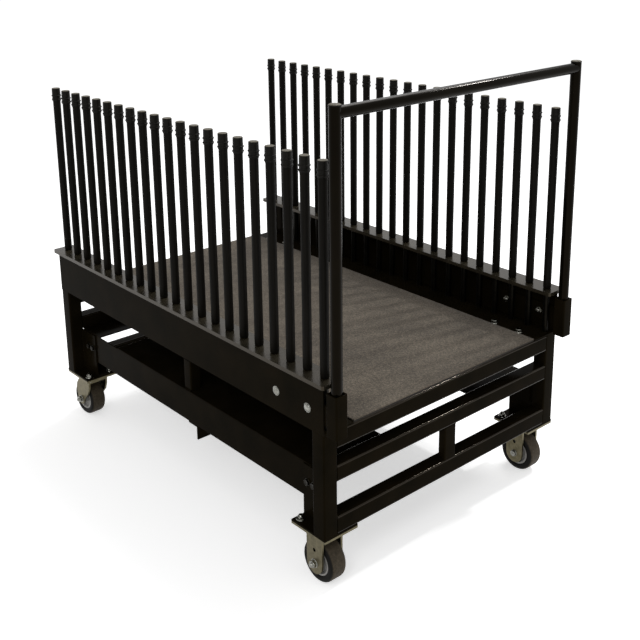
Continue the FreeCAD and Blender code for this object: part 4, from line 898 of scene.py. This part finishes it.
def beads(starts, ends, size):
    """For every joint: centre goes from start to end, and the section's radius is size with a ripple along it."""
    starts, ends = np.asarray(starts, float), np.asarray(ends, float)
    length = np.linalg.norm(ends - starts, axis=1)
    way = (ends - starts) / length[:, None]
    side = np.cross(way, np.where(np.abs(way[:, 2:]) > 0.9, [[1.0, 0, 0]], [[0, 0, 1.0]]))
    over = np.cross(side, way)
    s, a = np.linspace(0, 1, STATIONS), np.arange(ROUND) * 2 * np.pi / ROUND
    taper = np.sqrt(np.clip(1 - np.abs(2 * s - 1) ** 8, 0.03, 1))
    swell = size * taper * (1 + RIPPLE * np.cos(2 * np.pi * s * length[:, None] / DROP))
    centre = starts[:, None] + (ends - starts)[:, None] * s[None, :, None]
    section = np.cos(a)[None, :, None] * side[:, None] + np.sin(a)[None, :, None] * over[:, None]
    points = centre[:, :, None] + swell[:, :, None, None] * section[:, None]
    closed = np.stack([np.arange(ROUND)[::-1], (STATIONS - 1) * ROUND + np.arange(ROUND)])
    return points.reshape(-1, 3), counted_on([bands(STATIONS, ROUND), closed], len(starts), STATIONS * ROUND)


print("a bead has", STATIONS * ROUND, "points")

# %% [markdown]
# ## Where the frame is welded
# The bars of each end frame are welded to the posts, the corner plates to the posts, the struts to the bars, the
# uprights to the shelves and the shelves to the end frames. Beads could follow every edge of every solid, but a
# welder only runs them where they can reach, so each row of joints is written down by its ends.

# %% Frame welds
BEAD_SIZE = 2.6
POST_INSIDE, POST_FOOT, PLATE_TOP = 466.5, 187.0, 347.0
BAR_CORNERS = (452.5, 400.5, 349.5, 240.5)
STRUT_SIDE, STRUT_ENDS = 25.5, (240.5, 349.5)
UPRIGHT_SIDE, UPRIGHT_FOOT, UPRIGHT_SPAN = 460.5, 353.5, (-2.0, 34.5)
SHELF_TOP, SHELF_FROM, SHELF_TO = 352.5, 197, 464
PLATE_EDGE_IN, SHELF_END_IN = 50.5, 51
both_ways = (-1, 1)


def end_spans(near, far):
    """The stretch from near to far behind the front of the frame, and the same from the rear."""
    return (front + near, front + far), (rear - far, rear - near)


joints = [((s * POST_INSIDE, y0, z), (s * POST_INSIDE, y1, z))
          for y0, y1 in end_spans(3, 47) for s in both_ways for z in BAR_CORNERS]
joints += [((s * CORNER_PLATE_FACE, y, POST_FOOT), (s * CORNER_PLATE_FACE, y, PLATE_TOP))
           for s in both_ways for y in (front + PLATE_EDGE_IN, rear - PLATE_EDGE_IN)]
joints += [((s * STRUT_SIDE, y0, z), (s * STRUT_SIDE, y1, z))
           for s in both_ways for z in STRUT_ENDS for y0, y1 in end_spans(2, 26)]
joints += [tuple((s * UPRIGHT_SIDE, y, UPRIGHT_FOOT) for y in UPRIGHT_SPAN) for s in both_ways]
joints += [((a, y, SHELF_TOP), (b, y, SHELF_TOP)) for a, b in ((-SHELF_TO, -SHELF_FROM), (SHELF_FROM, SHELF_TO))
           for y in (front + SHELF_END_IN, rear - SHELF_END_IN)]
frame_beads = beads([start for start, end in joints], [end for start, end in joints], BEAD_SIZE)
piece("frame_welds", frame_beads, frame_coat, "chassis")

# %% [markdown]
# ## Floor
# The trolley stands on a wide pale floor that meets a white world, as in a catalogue picture. A shadow catcher only
# works in a picture with a clear background, so the floor is matt paper and keeps the trolley's shadow. The rays that
# the camera and the glossy finishes send get a little extra white from it, and the soft light on the trolley does not.

# %% Floor
FLOOR_HALF, PAPER_TONE, EXTRA_WHITE = 40.0, 0.9, 0.55


def looked_at(tree):
    """One for rays that camera, reflections or glass send, and nought for those that gather soft light."""
    ray = add(tree, "ShaderNodeLightPath").outputs
    seen = add(tree, "ShaderNodeMath", {0: ray["Is Camera Ray"], 1: ray["Is Glossy Ray"]}, operation="MAXIMUM")
    return add(tree, "ShaderNodeMath", {0: seen.outputs["Value"], 1: ray["Is Transmission Ray"]},
               operation="MAXIMUM").outputs["Value"]


ground = bpy.data.meshes.new("studio_floor")
ground.from_pydata([(-FLOOR_HALF, -FLOOR_HALF, 0), (FLOOR_HALF, -FLOOR_HALF, 0), (FLOOR_HALF, FLOOR_HALF, 0),
                    (-FLOOR_HALF, FLOOR_HALF, 0)], [], [(0, 1, 2, 3)])
floor = bpy.data.objects.new("studio_floor", ground)
bpy.context.scene.collection.objects.link(floor)
paper = bpy.data.materials.new("white_paper_floor")
paper.use_nodes = True
tree = paper.node_tree
tree.nodes.clear()
lift = add(tree, "ShaderNodeMath", {0: looked_at(tree), 1: EXTRA_WHITE}, operation="MULTIPLY")
matt = add(tree, "ShaderNodeBsdfDiffuse", {"Color": grey(PAPER_TONE)})
extra = add(tree, "ShaderNodeEmission", {"Color": grey(1.0), "Strength": lift.outputs["Value"]})
total = add(tree, "ShaderNodeAddShader", {0: matt.outputs["BSDF"], 1: extra.outputs["Emission"]})
add(tree, "ShaderNodeOutputMaterial", {"Surface": total.outputs["Shader"]})
ground.materials.append(paper)
print("floor", 2 * FLOOR_HALF, "m wide")

# %% [markdown]
# ## Sky
# The light of a catalogue picture is mostly even and comes from all round. A ring of lamps would put many spots into
# the gloss, so an even sky does it. The camera and the reflections see pure white there, and the soft light that falls
# on the trolley is about half as strong, which keeps the black steel deep.

# %% Sky
SKY_LIGHT = 0.55
world = bpy.data.worlds.new("studio")
bpy.context.scene.world = world
world.use_nodes = True
tree = world.node_tree
tree.nodes.clear()
sky = add(tree, "ShaderNodeBackground", {"Color": grey(1.0), "Strength": SKY_LIGHT})
white = add(tree, "ShaderNodeBackground", {"Color": grey(1.0), "Strength": 1.0})
backdrop = add(tree, "ShaderNodeMixShader", {0: looked_at(tree), 1: sky.outputs["Background"],
                                             2: white.outputs["Background"]})
add(tree, "ShaderNodeOutputWorld", {"Surface": backdrop.outputs["Shader"]})
print("sky", SKY_LIGHT, "of white")

# %% [markdown]
# ## Lamps
# A broad lamp over the right rail gives the carpet and the tops of the bars their light, and a smaller one on the left
# opens the shade on the left side. The thin gleams along the front edges need a small, hard source, because a broad one
# would smear them, so a third lamp, a quarter of a metre wide, stands where the edges mirror it. All look at a point in
# the middle of the trolley.

# %% Lamps
AIM = np.array([0, 0, 0.6])
LAMPS = [("broad_lamp", (2.4, 0.6, 4.6), 120.0, 2.6), ("left_lamp", (-3.6, -2.6, 3.4), 30.0, 1.2),
         ("gleam_lamp", (3.74, -1.2, 4.65), 80.0, 0.25)]
for name, spot, watts, width in LAMPS:
    lamp = bpy.data.lights.new(name, "AREA")
    lamp.energy, lamp.size = watts, width
    stand(bpy.data.objects.new(name, lamp), facing(*(np.array(spot) - AIM)), spot)
print("lamps", [name for name, spot, watts, width in LAMPS])
